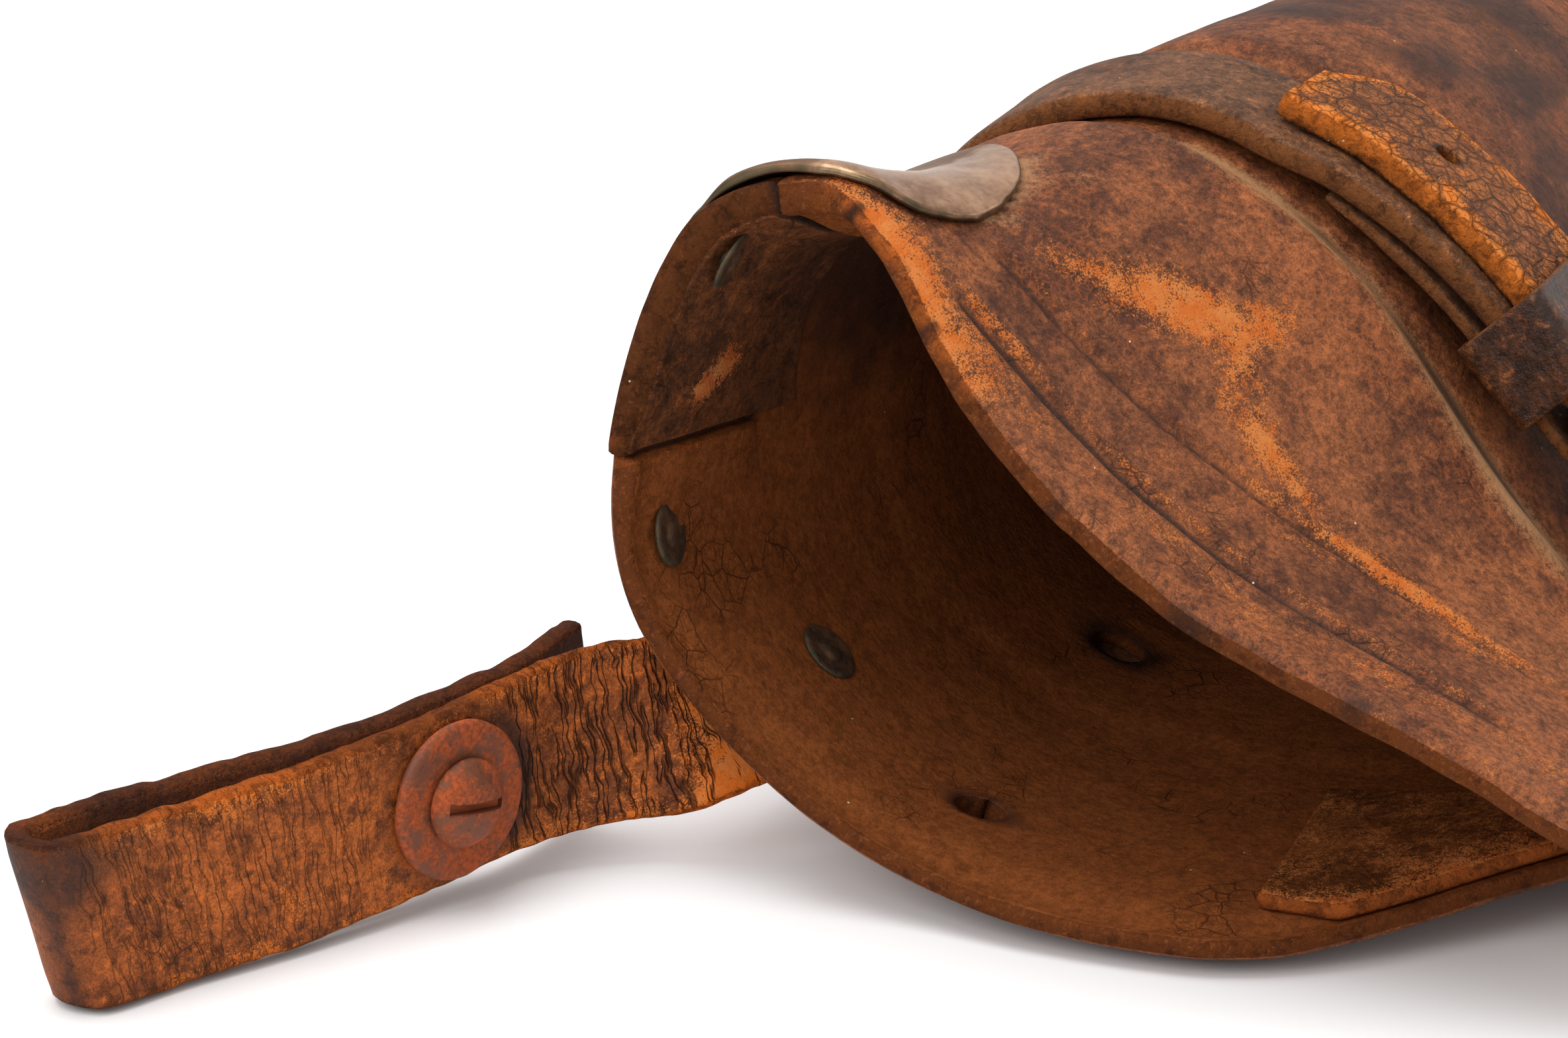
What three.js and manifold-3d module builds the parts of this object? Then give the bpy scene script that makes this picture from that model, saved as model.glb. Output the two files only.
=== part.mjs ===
// A leather saddle scabbard for a carbine. One thick sheet is folded along its upper edge and sewn
// along its lower edge into a tapered tube with a flared mouth. A brass guard caps the fold at the
// mouth, two buckled straps go round the body, and a riveted strap hangs from the folded side and
// ends in a loop clamped by a screw stud. A leather plug closes the toe.
//
// Units are millimetres. X runs along the tube from the mouth (-X) to the toe (+X), +Y is the
// folded side, the seam is at -Y and Z is up. The origin is the middle of the front strap's flat
// underside, on the ground that the scabbard lies on.
import * as THREE from "three";
import { mergeVertices } from "three/addons/utils/BufferGeometryUtils.js";
import Module from "manifold-3d";

const wasm = await Module();
wasm.setup();

// ---------- Driving dimensions ----------
const SHEET = 4.5; // body leather
const SKIVED = 3; // body leather at the cut edge of the mouth
const SKIVE_RUN = 12; // distance over which the mouth's edge thins
const CLEAR = 0.35; // gap between pieces that touch
const TOE_X = 420;
const SEAM_START = -28; // the sewn seam begins here, behind the flared mouth
const FRONT_STRAP_X = 0;
const REAR_STRAP_X = 300;
const STRAP_WIDTH = 24;
const STRAP_THICK = 4;
const BILLET_SHIFT = 3; // how far the strap's free end has crept towards the toe at the keeper
const TIP_SHIFT = 5; // and at its tip
const BAR_R = 1.6; // buckle wire
const BUCKLE_LENGTH = 20;
const HANGER_WIDTH = 25.4;
const HANGER_THICK = 3.8;
const GUARD_THICK = 1.3;
const GUARD_GAP = 0.5;
const PATCH_THICK = 2;
const LINING_GAP = 0.6; // the flat facets of the lining stay clear of the hollow wall

// Cross-sections of the body, from the seam's near edge over the fold to the seam's far edge.
// Every outline has the same 14 points [y, z], joined by a smooth curve.
const STATIONS = [
  {
    x: -92,
    level: true,
    outline: [
      [-92, 25], [-76, 28], [-50, 40], [-16, 53.5], [11, 73], [32, 94.5], [48, 102.5],
      [64.7, 94], [72.2, 62], [64.6, 33.3], [29.2, 7.4], [-22, 2], [-66, 9], [-88, 6],
    ],
  },
  {
    x: 0,
    level: true,
    outline: [
      [-84, 17.5], [-70, 20.5], [-56, 32], [-41, 51], [-20, 79], [6, 95.5], [29, 96.5],
      [48, 83], [59, 56], [53, 26], [27, 4.6], [-16, 1.2], [-60, 6.5], [-82, 4],
    ],
  },
  {
    x: 45,
    outline: [
      [-82, 17], [-68, 20], [-55, 34], [-41, 54], [-22, 80], [-2, 95], [18, 97.5],
      [38, 86], [53, 60], [49, 27], [26, 4.6], [-16, 1.5], [-58, 7], [-80, 3.5],
    ],
  },
  {
    x: 300,
    outline: [
      [-72, 16], [-58, 19], [-46, 28], [-33, 42], [-17, 57], [1, 66], [16, 67],
      [30, 60], [39, 42], [34, 18], [18, 3.5], [-12, 1.8], [-50, 6.5], [-70, 3],
    ],
  },
  {
    x: TOE_X,
    outline: [
      [-64, 15], [-50, 18], [-40, 25], [-28, 36], [-14, 47], [0, 53], [13, 53.5],
      [25, 48], [32, 34], [28, 15], [15, 4], [-10, 2], [-44, 6], [-62, 2.5],
    ],
  },
];
const LAST = STATIONS[0].outline.length - 1;
// Where the mouth's edge lies along X at each of the 14 points.
const RIM = [-90, -92, -93, -92, -89, -79, -72, -75, -81, -84, -86, -87, -51, -30];
// The straps press shallow grooves into the body.
const GROOVES = [
  { x: FRONT_STRAP_X, depth: 3 },
  { x: REAR_STRAP_X, depth: 2 },
];
const GROOVE_FLAT = 14.5;
const GROOVE_END = 22;
// Behind the flared mouth the fold sinks into a saddle, whose slope to the mouth is the steeper one.
const SADDLE = { q: 6.2, x: -50, depth: 6, reachQ: 1.1, toMouth: 17, toToe: 24 };

const leather = (color, roughness = 0.75) =>
  new THREE.MeshStandardMaterial({ color, roughness, metalness: 0 });
const metal = (color, roughness) =>
  new THREE.MeshStandardMaterial({ color, roughness, metalness: 1 });
const MATERIALS = {
  body: leather(0x5b3320),
  lining: leather(0x4a2c1c, 0.9),
  welt: leather(0x6b4228),
  strap: leather(0x5a3a24),
  keeper: leather(0x33211a, 0.5),
  hanger: leather(0x7a4523),
  thread: leather(0x8a7350, 0.9),
  brass: metal(0x8a6a3c, 0.45),
  copper: metal(0x6a4a30, 0.6),
  iron: metal(0x5a3526, 0.85),
};

// ---------- Small helpers ----------
const smooth = (from, to, x) => THREE.MathUtils.smoothstep(x, from, to);
const lerp = THREE.MathUtils.lerp;
const bell = (t) => Math.exp(-t * t);
const vec = (x, y, z) => new THREE.Vector3(x, y, z);
const steps = (from, to, count) =>
  Array.from({ length: count + 1 }, (_, i) => lerp(from, to, i / count));

// A smooth curve through equally spaced values, with its slope.
function curveAt(values, q) {
  const n = values.length;
  const i = Math.min(Math.max(Math.floor(q), 0), n - 2);
  const t = q - i;
  const value = (k) => {
    if (k < 0) return 2 * values[0] - values[1];
    if (k >= n) return 2 * values[n - 1] - values[n - 2];
    return values[k];
  };
  const [a, b, c, d] = [value(i - 1), value(i), value(i + 1), value(i + 2)];
  const k1 = c - a;
  const k2 = 2 * a - 5 * b + 4 * c - d;
  const k3 = 3 * b - a - 3 * c + d;
  return {
    value: 0.5 * (2 * b + k1 * t + k2 * t * t + k3 * t ** 3),
    slope: 0.5 * (k1 + 2 * k2 * t + 3 * k3 * t * t),
  };
}

// Piecewise linear table of [key, value] pairs.
function table(pairs, key) {
  for (let i = 1; i < pairs.length; i++) {
    const [k0, v0] = pairs[i - 1];
    const [k1, v1] = pairs[i];
    if (key <= k1) return lerp(v0, v1, Math.max(0, (key - k0) / (k1 - k0)));
  }
  return pairs[pairs.length - 1][1];
}

function geometryOf(points, triangles) {
  const geometry = new THREE.BufferGeometry();
  const flat = points.flatMap((p) => [p.x, p.y, p.z]);
  geometry.setAttribute("position", new THREE.Float32BufferAttribute(flat, 3));
  let volume = 0;
  const cross = vec(0, 0, 0);
  for (const [a, b, c] of triangles)
    volume += points[a].dot(cross.crossVectors(points[b], points[c]));
  const facing = volume < 0 ? triangles.map(([a, b, c]) => [a, c, b]) : triangles;
  geometry.setIndex(facing.flat());
  geometry.computeVertexNormals();
  return geometry;
}

// A closed slab between two grids of points. A ring's last row joins its first.
function slab(outer, inner, ring = false) {
  const rows = outer.length;
  const columns = outer[0].length;
  const points = [...outer.flat(), ...inner.flat()];
  const o = (i, j) => (i % rows) * columns + j;
  const n = (i, j) => rows * columns + o(i, j);
  const triangles = [];
  const quad = (a, b, c, d) => triangles.push([a, b, c], [a, c, d]);
  const last = columns - 1;
  for (let i = 0; i < (ring ? rows : rows - 1); i++) {
    for (let j = 0; j < last; j++) {
      quad(o(i, j), o(i + 1, j), o(i + 1, j + 1), o(i, j + 1));
      quad(n(i, j), n(i, j + 1), n(i + 1, j + 1), n(i + 1, j));
    }
    quad(o(i, 0), n(i, 0), n(i + 1, 0), o(i + 1, 0));
    quad(o(i, last), o(i + 1, last), n(i + 1, last), n(i, last));
  }
  if (!ring)
    for (let j = 0; j < last; j++) {
      quad(o(0, j), o(0, j + 1), n(0, j + 1), n(0, j));
      quad(o(rows - 1, j), n(rows - 1, j), n(rows - 1, j + 1), o(rows - 1, j + 1));
    }
  return geometryOf(points, triangles);
}

// A round rod along a list of points, open ended or joined into a ring.
function rod(path, radius, sides = 8, ring = false, up = vec(1, 0, 0)) {
  const count = path.length;
  const rows = path.map((p, i) => {
    const before = path[ring ? (i + count - 1) % count : Math.max(i - 1, 0)];
    const after = path[ring ? (i + 1) % count : Math.min(i + 1, count - 1)];
    const along = after.clone().sub(before).normalize();
    const side = up.clone().cross(along).normalize();
    const other = along.clone().cross(side);
    return steps(0, 2 * Math.PI, sides)
      .slice(0, sides)
      .map((a) =>
        p.clone().addScaledVector(side, radius * Math.cos(a)).addScaledVector(other, radius * Math.sin(a)),
      );
  });
  const points = rows.flat();
  const triangles = [];
  for (let i = 0; i < (ring ? count : count - 1); i++)
    for (let j = 0; j < sides; j++) {
      const k = ((i + 1) % count) * sides;
      const m = (j + 1) % sides;
      triangles.push([i * sides + j, k + j, k + m], [i * sides + j, k + m, i * sides + m]);
    }
  if (!ring)
    for (let j = 1; j < sides - 1; j++) {
      const end = (count - 1) * sides;
      triangles.push([0, j, j + 1], [end, end + j + 1, end + j]);
    }
  return geometryOf(points, triangles);
}

// A turned piece whose profile [radius, height] stands on a point with its height along axis.
function turned(profile, sides, at, axis) {
  const geometry = new THREE.LatheGeometry(
    profile.map(([r, h]) => new THREE.Vector2(r, h)),
    sides,
  );
  geometry.applyQuaternion(new THREE.Quaternion().setFromUnitVectors(vec(0, 1, 0), axis));
  geometry.translate(at.x, at.y, at.z);
  return geometry;
}

function solidOf(geometry) {
  const bare = geometry.clone();
  for (const name of Object.keys(bare.attributes))
    if (name !== "position") bare.deleteAttribute(name);
  const merged = mergeVertices(bare, 1e-4);
  return new wasm.Manifold(
    new wasm.Mesh({
      numProp: 3,
      vertProperties: new Float32Array(merged.attributes.position.array),
      triVerts: new Uint32Array(merged.index.array),
    }),
  );
}

function geometryOfSolid(solid) {
  const mesh = solid.getMesh();
  const result = new THREE.BufferGeometry();
  result.setAttribute("position", new THREE.BufferAttribute(mesh.vertProperties, 3));
  result.setIndex(new THREE.BufferAttribute(mesh.triVerts, 1));
  result.computeVertexNormals();
  return result;
}

function cut(geometry, cutters) {
  let solid = solidOf(geometry);
  for (const cutter of cutters) solid = solid.subtract(solidOf(cutter));
  return geometryOfSolid(solid);
}

// ---------- The body's surface ----------
const stationSlope = (i, k, axis) => {
  if (STATIONS[i].level) return 0;
  const before = STATIONS[i - 1];
  const after = STATIONS[Math.min(i + 1, STATIONS.length - 1)];
  return (after.outline[k][axis] - before.outline[k][axis]) / (after.x - before.x);
};

// The outline's points at x, by cubic interpolation between the stations.
function outlineAt(x) {
  const inside = THREE.MathUtils.clamp(x, STATIONS[0].x, TOE_X);
  let i = 0;
  while (i < STATIONS.length - 2 && inside > STATIONS[i + 1].x) i++;
  const [from, to] = [STATIONS[i], STATIONS[i + 1]];
  const d = to.x - from.x;
  const t = (inside - from.x) / d;
  const blend = (k, axis) =>
    (2 * t ** 3 - 3 * t * t + 1) * from.outline[k][axis] +
    (t ** 3 - 2 * t * t + t) * d * stationSlope(i, k, axis) +
    (3 * t * t - 2 * t ** 3) * to.outline[k][axis] +
    (t ** 3 - t * t) * d * stationSlope(i + 1, k, axis);
  return from.outline.map((_, k) => [blend(k, 0), blend(k, 1)]);
}

const rimAt = (q) => curveAt(RIM, q).value;

// How deep the outer face lies below its smooth outline.
function sunkAt(q, x) {
  const weight = smooth(1, 3, q) * (1 - smooth(11, 12, q));
  const depth = GROOVES.reduce(
    (sum, g) => sum + g.depth * (1 - smooth(GROOVE_FLAT, GROOVE_END, Math.abs(x - g.x))),
    0,
  );
  const reach = x < SADDLE.x ? SADDLE.toMouth : SADDLE.toToe;
  const saddle = bell((q - SADDLE.q) / SADDLE.reachQ) * bell((x - SADDLE.x) / reach);
  return depth * weight + SADDLE.depth * saddle;
}

// A point lifted off the body's outer face, and the outward normal there.
function bodyFrame(q, x, lift = 0) {
  const outline = outlineAt(x);
  const y = curveAt(outline.map((p) => p[0]), q);
  const z = curveAt(outline.map((p) => p[1]), q);
  const normal = vec(0, -z.slope, y.slope).normalize();
  const at = vec(x, y.value, z.value).addScaledVector(normal, lift - sunkAt(q, x));
  return { at, normal };
}
const onBody = (q, x, lift) => bodyFrame(q, x, lift).at;
const thicknessAt = (q, x) => lerp(SKIVED, SHEET, smooth(0, SKIVE_RUN, x - rimAt(q)));

// ---------- Rivets ----------
const RIVET_SHANK = 1.9;
const RIVET_HEAD = 4.6;
const HEAD_SEAT = 0.3;

// Domed head above the outer surface, a flat burr below the grip; grown makes the hole for it.
function rivet(at, axis, grip, grown = 0) {
  const inside = -grip - HEAD_SEAT;
  const profile = [
    [0, 1.9 + grown],
    [2.6, 1.6 + grown],
    [RIVET_HEAD + grown, 0.7 + grown],
    [RIVET_HEAD + grown, HEAD_SEAT - grown],
    [RIVET_SHANK + grown, HEAD_SEAT - grown],
    [RIVET_SHANK + grown, inside + grown],
    [RIVET_HEAD + grown, inside + grown],
    [RIVET_HEAD + grown, inside - 0.9 - grown],
    [0, inside - 1.3 - grown],
  ].reverse();
  return turned(profile, 14, at, axis);
}

// Every rivet that goes through the body: where it is, what it grips outside and inside.
const RIVETS = [
  { name: "guard_rivet_upper", q: 7.1, x: -70, outside: GUARD_THICK + GUARD_GAP, inside: PATCH_THICK + LINING_GAP },
  { name: "guard_rivet_lower", q: 8.5, x: -73, outside: GUARD_THICK + GUARD_GAP, inside: 0 },
  { name: "hanger_rivet", q: 9.3, x: -53, outside: HANGER_THICK + CLEAR, inside: 0 },
  { name: "seam_rivet_mouth", q: 0.5, x: -20, outside: 0, seam: true },
  { name: "seam_rivet_toe", q: 0.5, x: 408, outside: 0, seam: true },
];

function rivetSolid(r, grown = 0) {
  const { at, normal } = bodyFrame(r.q, r.x, r.outside);
  if (r.seam) {
    const far = onBody(LAST - r.q, r.x);
    const axis = at.clone().sub(far).normalize();
    return rivet(at, axis, at.distanceTo(far), grown);
  }
  return rivet(at, normal, r.outside + thicknessAt(r.q, r.x) + r.inside, grown);
}
const rivetHoles = () => RIVETS.map((r) => rivetSolid(r, CLEAR));

// An empty punched hole through a piece that stands on the body.
function punch(q, x, radius, below = 9) {
  const { at, normal } = bodyFrame(q, x);
  return turned([[0, -below], [radius, -below], [radius, 4], [0, 4]], 12, at, normal);
}

// ---------- Body, welt, seam, lining, guard ----------
const LENGTH_ROWS = [-8, 8, 14, 22, 45, 95, 160, 225, 278, 287, 294, 306, 314, 322, 350, 385, TOE_X];
const MOUTH_ROWS = 8;
const MOUTH_END = -22;

function bodyRows(q) {
  return [...steps(rimAt(q), MOUTH_END, MOUTH_ROWS), -14, ...LENGTH_ROWS];
}

function bodyShell() {
  const around = [
    ...steps(0, 4, 8),
    ...steps(4, 9, 17).slice(1),
    ...steps(9, LAST, 8).slice(1),
  ];
  const outer = around.map((q) => bodyRows(q).map((x) => onBody(q, x)));
  const inner = around.map((q) => bodyRows(q).map((x) => onBody(q, x, -thicknessAt(q, x))));
  const emptyHoles = [punch(10.1, -63, 3.4), punch(9.95, 5, 3)];
  return cut(slab(outer, inner), [...rivetHoles(), ...emptyHoles, ...toeRivets(CLEAR), ...strapSlots()]);
}

// The welt is the strip of leather sewn between the two edges of the sheet.
function seamWelt() {
  const columns = [0, 0.5, 1]; // the same lines as the sheet's own facets
  const xs = [SEAM_START, MOUTH_END, -14, ...LENGTH_ROWS.slice(0, -1), TOE_X - 1];
  const upper = columns.map((q) => xs.map((x) => onBody(q, x, -SHEET - CLEAR)));
  const lower = columns.map((q) => xs.map((x) => onBody(LAST - q, x, -SHEET - CLEAR)));
  return cut(slab(upper, lower), [...rivetHoles(), ...strapSlots()]);
}

const FRONT_BUCKLE = [-44, 53]; // [y, z] of the buckle bar's foot on the near wall
const REAR_BUCKLE = [-38, 38];
const strapSlots = () => [
  slotCutter(FRONT_STRAP_X, FRONT_BUCKLE),
  slotCutter(REAR_STRAP_X, REAR_BUCKLE),
];

const THREAD_R = 0.6;
const THREAD_Q = 0.28;
function seamThread(q) {
  const xs = steps(SEAM_START + 14, TOE_X - 18, 20);
  const path = xs.map((x) => onBody(q, x, THREAD_R + 0.3));
  return rod(path, THREAD_R, 6, false, vec(0, 0, 1));
}

// A patch of even thickness that follows the body between two q and two x lines.
function patch(qs, xFrom, xTo, low, high, rows = 5) {
  const grid = (lift) => qs.map((q) => steps(xFrom(q), xTo(q), rows).map((x) => onBody(q, x, lift(q, x))));
  return slab(grid(high), grid(low));
}

// The guard's two edges, [q, distance from the mouth's edge].
const GUARD_FRONT = [
  [4.97, 17.2], [5.02, 12.7], [5.1, 8.6], [5.28, 5.6], [5.6, 2.4], [5.95, 1.2], [6.6, 1.3],
  [7.1, 2], [7.5, 4], [7.9, 5], [8.6, 5.5], [8.8, 6.5], [8.9, 8.5],
];
const GUARD_REAR = [
  [4.97, 18.8], [5.02, 24], [5.1, 27.5], [5.28, 32], [5.6, 36.3], [5.95, 39], [6.6, 38.6],
  [7.1, 35], [7.5, 31], [7.9, 26.5], [8.6, 19], [8.8, 16], [8.9, 12.5],
];

function throatGuard() {
  const qs = [4.97, 4.99, 5.02, 5.1, 5.28, 5.44, 5.6, 5.78, 5.95, 6.27, 6.6, 6.85, 7.1, 7.5, 7.9, 8.25, 8.6, 8.8, 8.9];
  const front = (q) => rimAt(q) + table(GUARD_FRONT, q);
  const rear = (q) => rimAt(q) + table(GUARD_REAR, q);
  return cut(
    patch(qs, front, rear, () => GUARD_GAP, () => GUARD_GAP + GUARD_THICK),
    rivetHoles(),
  );
}

const insideLift = (extra) => (q, x) => -thicknessAt(q, x) - extra;

function throatLining() {
  const qs = steps(6.32, 8.02, 9);
  const end = (q) => -46 + 4 * (q - 7) ** 2;
  return cut(
    patch(qs, (q) => rimAt(q) + 0.8, end, insideLift(LINING_GAP), insideLift(LINING_GAP + PATCH_THICK)),
    rivetHoles(),
  );
}

function seamPatch() {
  const qs = [11, 11.5, 12];
  const start = (q) => Math.max(rimAt(q), -80) + 3;
  return patch(qs, start, () => -34, insideLift(LINING_GAP), insideLift(LINING_GAP + PATCH_THICK), 4);
}

// ---------- Toe plug ----------
const PLUG_FROM = TOE_X - 14;
const TOE_RIVETS = [4.3, 6.5, 8.6, 10.6];

function toePlug() {
  const qs = [...steps(1.6, 9, 16), ...steps(9, 11.3, 4).slice(1)];
  const rim = (x) => qs.map((q) => onBody(q, x, -SHEET - CLEAR - 0.1));
  const back = rim(PLUG_FROM);
  const face = rim(TOE_X - 2);
  const centre = (points) =>
    points.reduce((sum, p) => sum.add(p), vec(0, 0, 0)).divideScalar(points.length);
  const points = [...back, ...face, centre(back), centre(face)];
  const n = qs.length;
  const triangles = [];
  for (let i = 0; i < n; i++) {
    const j = (i + 1) % n;
    triangles.push([i, n + i, n + j], [i, n + j, j], [2 * n, i, j], [2 * n + 1, n + j, n + i]);
  }
  return cut(geometryOf(points, triangles), toeRivets(CLEAR));
}

function toeRivets(grown = 0) {
  return TOE_RIVETS.map((q) => {
    const { at, normal } = bodyFrame(q, TOE_X - 8);
    const profile = [
      [0, -SHEET - 6 - grown],
      [1.2 + grown, -SHEET - 6 - grown],
      [1.2 + grown, HEAD_SEAT - grown],
      [3.2 + grown, HEAD_SEAT - grown],
      [2.4 + grown, 1.1 + grown],
      [0, 1.5 + grown],
    ];
    return turned(profile, 10, at, normal);
  });
}

// ---------- Straps round the body ----------
// The route of a strap is the tight loop round the body's section, [s, h]: s is the length along it
// from the buckle's bar, up the near face and over the fold, and h is the height off the body.
const ROUTE_H = STRAP_THICK / 2 + 0.4;
const SLOT_Q = 1; // the strap passes through a slot in the sewn edge, between stitches and wall

function convexHull(points) {
  const sorted = [...points].sort((a, b) => a[0] - b[0] || a[1] - b[1]);
  const half = (list) => {
    const chain = [];
    for (const p of list) {
      while (chain.length > 1) {
        const [a, b] = chain.slice(-2);
        if ((b[0] - a[0]) * (p[1] - a[1]) - (b[1] - a[1]) * (p[0] - a[0]) < 0) break;
        chain.pop();
      }
      chain.push(p);
    }
    return chain.slice(0, -1);
  };
  return [...half(sorted), ...half(sorted.reverse())]; // clockwise: over the top towards +Y
}

function strapRoute(x0, start) {
  const samples = [];
  for (const x of steps(x0 - STRAP_WIDTH / 2 - 1, x0 + STRAP_WIDTH / 2 + 1, 4))
    for (const q of steps(SLOT_Q, LAST - SLOT_Q, 120)) {
      const p = onBody(q, x);
      samples.push([p.y, p.z]);
    }
  const hull = convexHull(samples);
  const route = [];
  const count = hull.length;
  const edgeAngle = (i) => {
    const [a, b] = [hull[(i + count) % count], hull[(i + 1) % count]];
    return Math.atan2(b[0] - a[0], a[1] - b[1]); // angle of the outward normal
  };
  hull.forEach((p, i) => {
    const from = edgeAngle(i - 1);
    const turn = Math.atan2(Math.sin(edgeAngle(i) - from), Math.cos(edgeAngle(i) - from));
    const parts = Math.max(1, Math.ceil(Math.abs(turn) / 0.25));
    for (const a of steps(from, from + turn, parts)) {
      const n = [Math.cos(a), Math.sin(a)];
      route.push({ y: p[0] + n[0] * ROUTE_H, z: p[1] + n[1] * ROUTE_H, n, a });
    }
    const corner = route[route.length - 1];
    const next = hull[(i + 1) % count];
    const gap = Math.hypot(next[0] - p[0], next[1] - p[1]);
    for (const t of steps(0, 1, Math.ceil(gap / 3)).slice(1, -1))
      route.push({ ...corner, y: corner.y + t * (next[0] - p[0]), z: corner.z + t * (next[1] - p[1]) });
  });
  const distance = (r) => Math.hypot(r.y - start[0], r.z - start[1]);
  const first = route.reduce((best, r, i) => (distance(r) < distance(route[best]) ? i : best), 0);
  const ordered = [...route.slice(first), ...route.slice(0, first), route[first]];
  let length = 0;
  ordered.forEach((r, i) => {
    const before = ordered[Math.max(i - 1, 0)];
    length += Math.hypot(r.y - before.y, r.z - before.z);
    ordered[i] = { ...r, s: length };
  });
  const at = (s, h) => {
    const around = ((s % length) + length) % length;
    let i = 1;
    while (i < ordered.length - 1 && ordered[i].s < around) i++;
    const [a, b] = [ordered[i - 1], ordered[i]];
    const t = b.s > a.s ? (around - a.s) / (b.s - a.s) : 0;
    const n = new THREE.Vector2(lerp(a.n[0], b.n[0], t), lerp(a.n[1], b.n[1], t)).normalize();
    return [lerp(a.y, b.y, t) + n.x * (h - ROUTE_H), lerp(a.z, b.z, t) + n.y * (h - ROUTE_H)];
  };
  // Places along the route close enough together to follow its corners.
  const stops = (from, to) => {
    const kept = [from];
    let last = ordered.find((r) => r.s >= from);
    for (const r of ordered) {
      if (r.s <= from + 1 || r.s >= to - 1) continue;
      const turned = Math.abs(Math.atan2(Math.sin(r.a - last.a), Math.cos(r.a - last.a)));
      if (r.s - last.s < 8 && turned < 0.22) continue;
      kept.push(r.s);
      last = r;
    }
    return [...kept, to];
  };
  return { length, at, stops };
}

// The slot's cutter is the strap's own run through the sewn edge, a little larger all round.
function slotCutter(x0, start) {
  const route = strapRoute(x0, start);
  const edge = onBody(1.8, x0).y;
  const run = route.stops(66, route.length - 30).filter((s) => route.at(s, ROUTE_H)[0] < edge);
  const stops = run.map((s) => ({ s, h: ROUTE_H, thick: STRAP_THICK + 2 * CLEAR, deep: true }));
  return strip(route, x0, stops, STRAP_WIDTH + 2 * CLEAR);
}

// A strip of leather that follows stops {s, h, thick, shift}; shift moves it along X. It is pressed
// flat where it lies on the ground.
function strip(route, x0, stops, width = STRAP_WIDTH) {
  const middle = stops.map((p) => p.at ?? route.at(p.s, p.h));
  const rows = { outer: [], inner: [] };
  stops.forEach((p, i) => {
    const [before, after] = [middle[Math.max(i - 1, 0)], middle[Math.min(i + 1, stops.length - 1)]];
    const along = new THREE.Vector2(after[0] - before[0], after[1] - before[1]).normalize();
    const half = (p.thick ?? STRAP_THICK) / 2;
    for (const [key, sign] of [["outer", 1], ["inner", -1]]) {
      const y = middle[i][0] - sign * half * along.y;
      const z = Math.max(middle[i][1] + sign * half * along.x, p.deep ? -1 : 0);
      const mid = x0 + (p.shift ?? 0);
      rows[key].push([vec(mid - width / 2, y, z), vec(mid + width / 2, y, z)]);
    }
  });
  return slab(rows.outer, rows.inner);
}

// Heights of the layers near the buckle: the strap's own end folds back under it round the bar.
const BAR_H = 6;
const FOLD_THICK = 2.2;
const FOLD_H = 1.95 + FOLD_THICK / 2;
const FOLD_R = BAR_R + 0.3 + FOLD_THICK / 2;
const KEEPER_FROM = 6;
const KEEPER_TO = 21;
const HINGE_S = 22;
const BILLET_LENGTH = 40.5;

function strapStops(route) {
  const { length } = route;
  const fold = [[50, 1.1, 1.2], [40, 1.7, 2], [30, 2.6, FOLD_THICK], [24, FOLD_H, FOLD_THICK], [12, FOLD_H, FOLD_THICK]];
  const under = fold.map(([s, h, thick]) => ({ s, h, thick }));
  const bend = steps(-90, -270, 8).map((a) => ({
    s: FOLD_R * Math.cos(THREE.MathUtils.degToRad(a)),
    h: BAR_H + FOLD_R * Math.sin(THREE.MathUtils.degToRad(a)),
    thick: FOLD_THICK,
  }));
  const over = [[4, 8.9, 2.6], [8, 8, 3.4], [14, 7.5], [24, 7.4], [32, 6.6], [40, 5.4], [50, 4.2], [60, ROUTE_H]];
  const top = over.map(([s, h, thick]) => ({ s, h, thick }));
  const round = route.stops(66, length - 30).map((s) => ({ s, h: ROUTE_H }));
  const rise = [[-26, 2.4], [-19, 2.6], [-14, 4.6], [-10, 7.1], [-6, 10], [-2, 12.3], [3, 12.5], [8, 12], [14, 11.9], [HINGE_S - 0.4, 11.8]];
  const last = rise.map(([s, h]) => ({ s: length + s, h, shift: (BILLET_SHIFT / 2) * smooth(-4, 22, s) }));
  return [...under, ...bend, ...top, ...round, ...last];
}

const HOLE_R = 1.7; // punched hole in the free end
const BILLET_HEIGHTS = [[0, 11.8], [10, 10.9], [18, 9.8], [28, 8.7], [38, 6.9], [80, 6.8]];
function billetStops(length) {
  return steps(0, BILLET_LENGTH, 9).map((s) => ({
    s: length + HINGE_S + s,
    h: table(BILLET_HEIGHTS, s),
    thick: 3.8,
    shift: lerp(BILLET_SHIFT / 2, TIP_SHIFT, s / BILLET_LENGTH),
  }));
}

// A box in the buckle's own plane: s along the strap, h off it, and half the width in X.
function buckleBox(place, s0, s1, h0, h1, half) {
  const outer = [s0, s1].map((s) => [place(s, h1, -half), place(s, h1, half)]);
  const inner = [s0, s1].map((s) => [place(s, h0, -half), place(s, h0, half)]);
  return slab(outer, inner);
}

const FRAME_HALF = STRAP_WIDTH / 2 + 0.8 + BAR_R;
const OUTER_BAR_H = 7;

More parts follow.
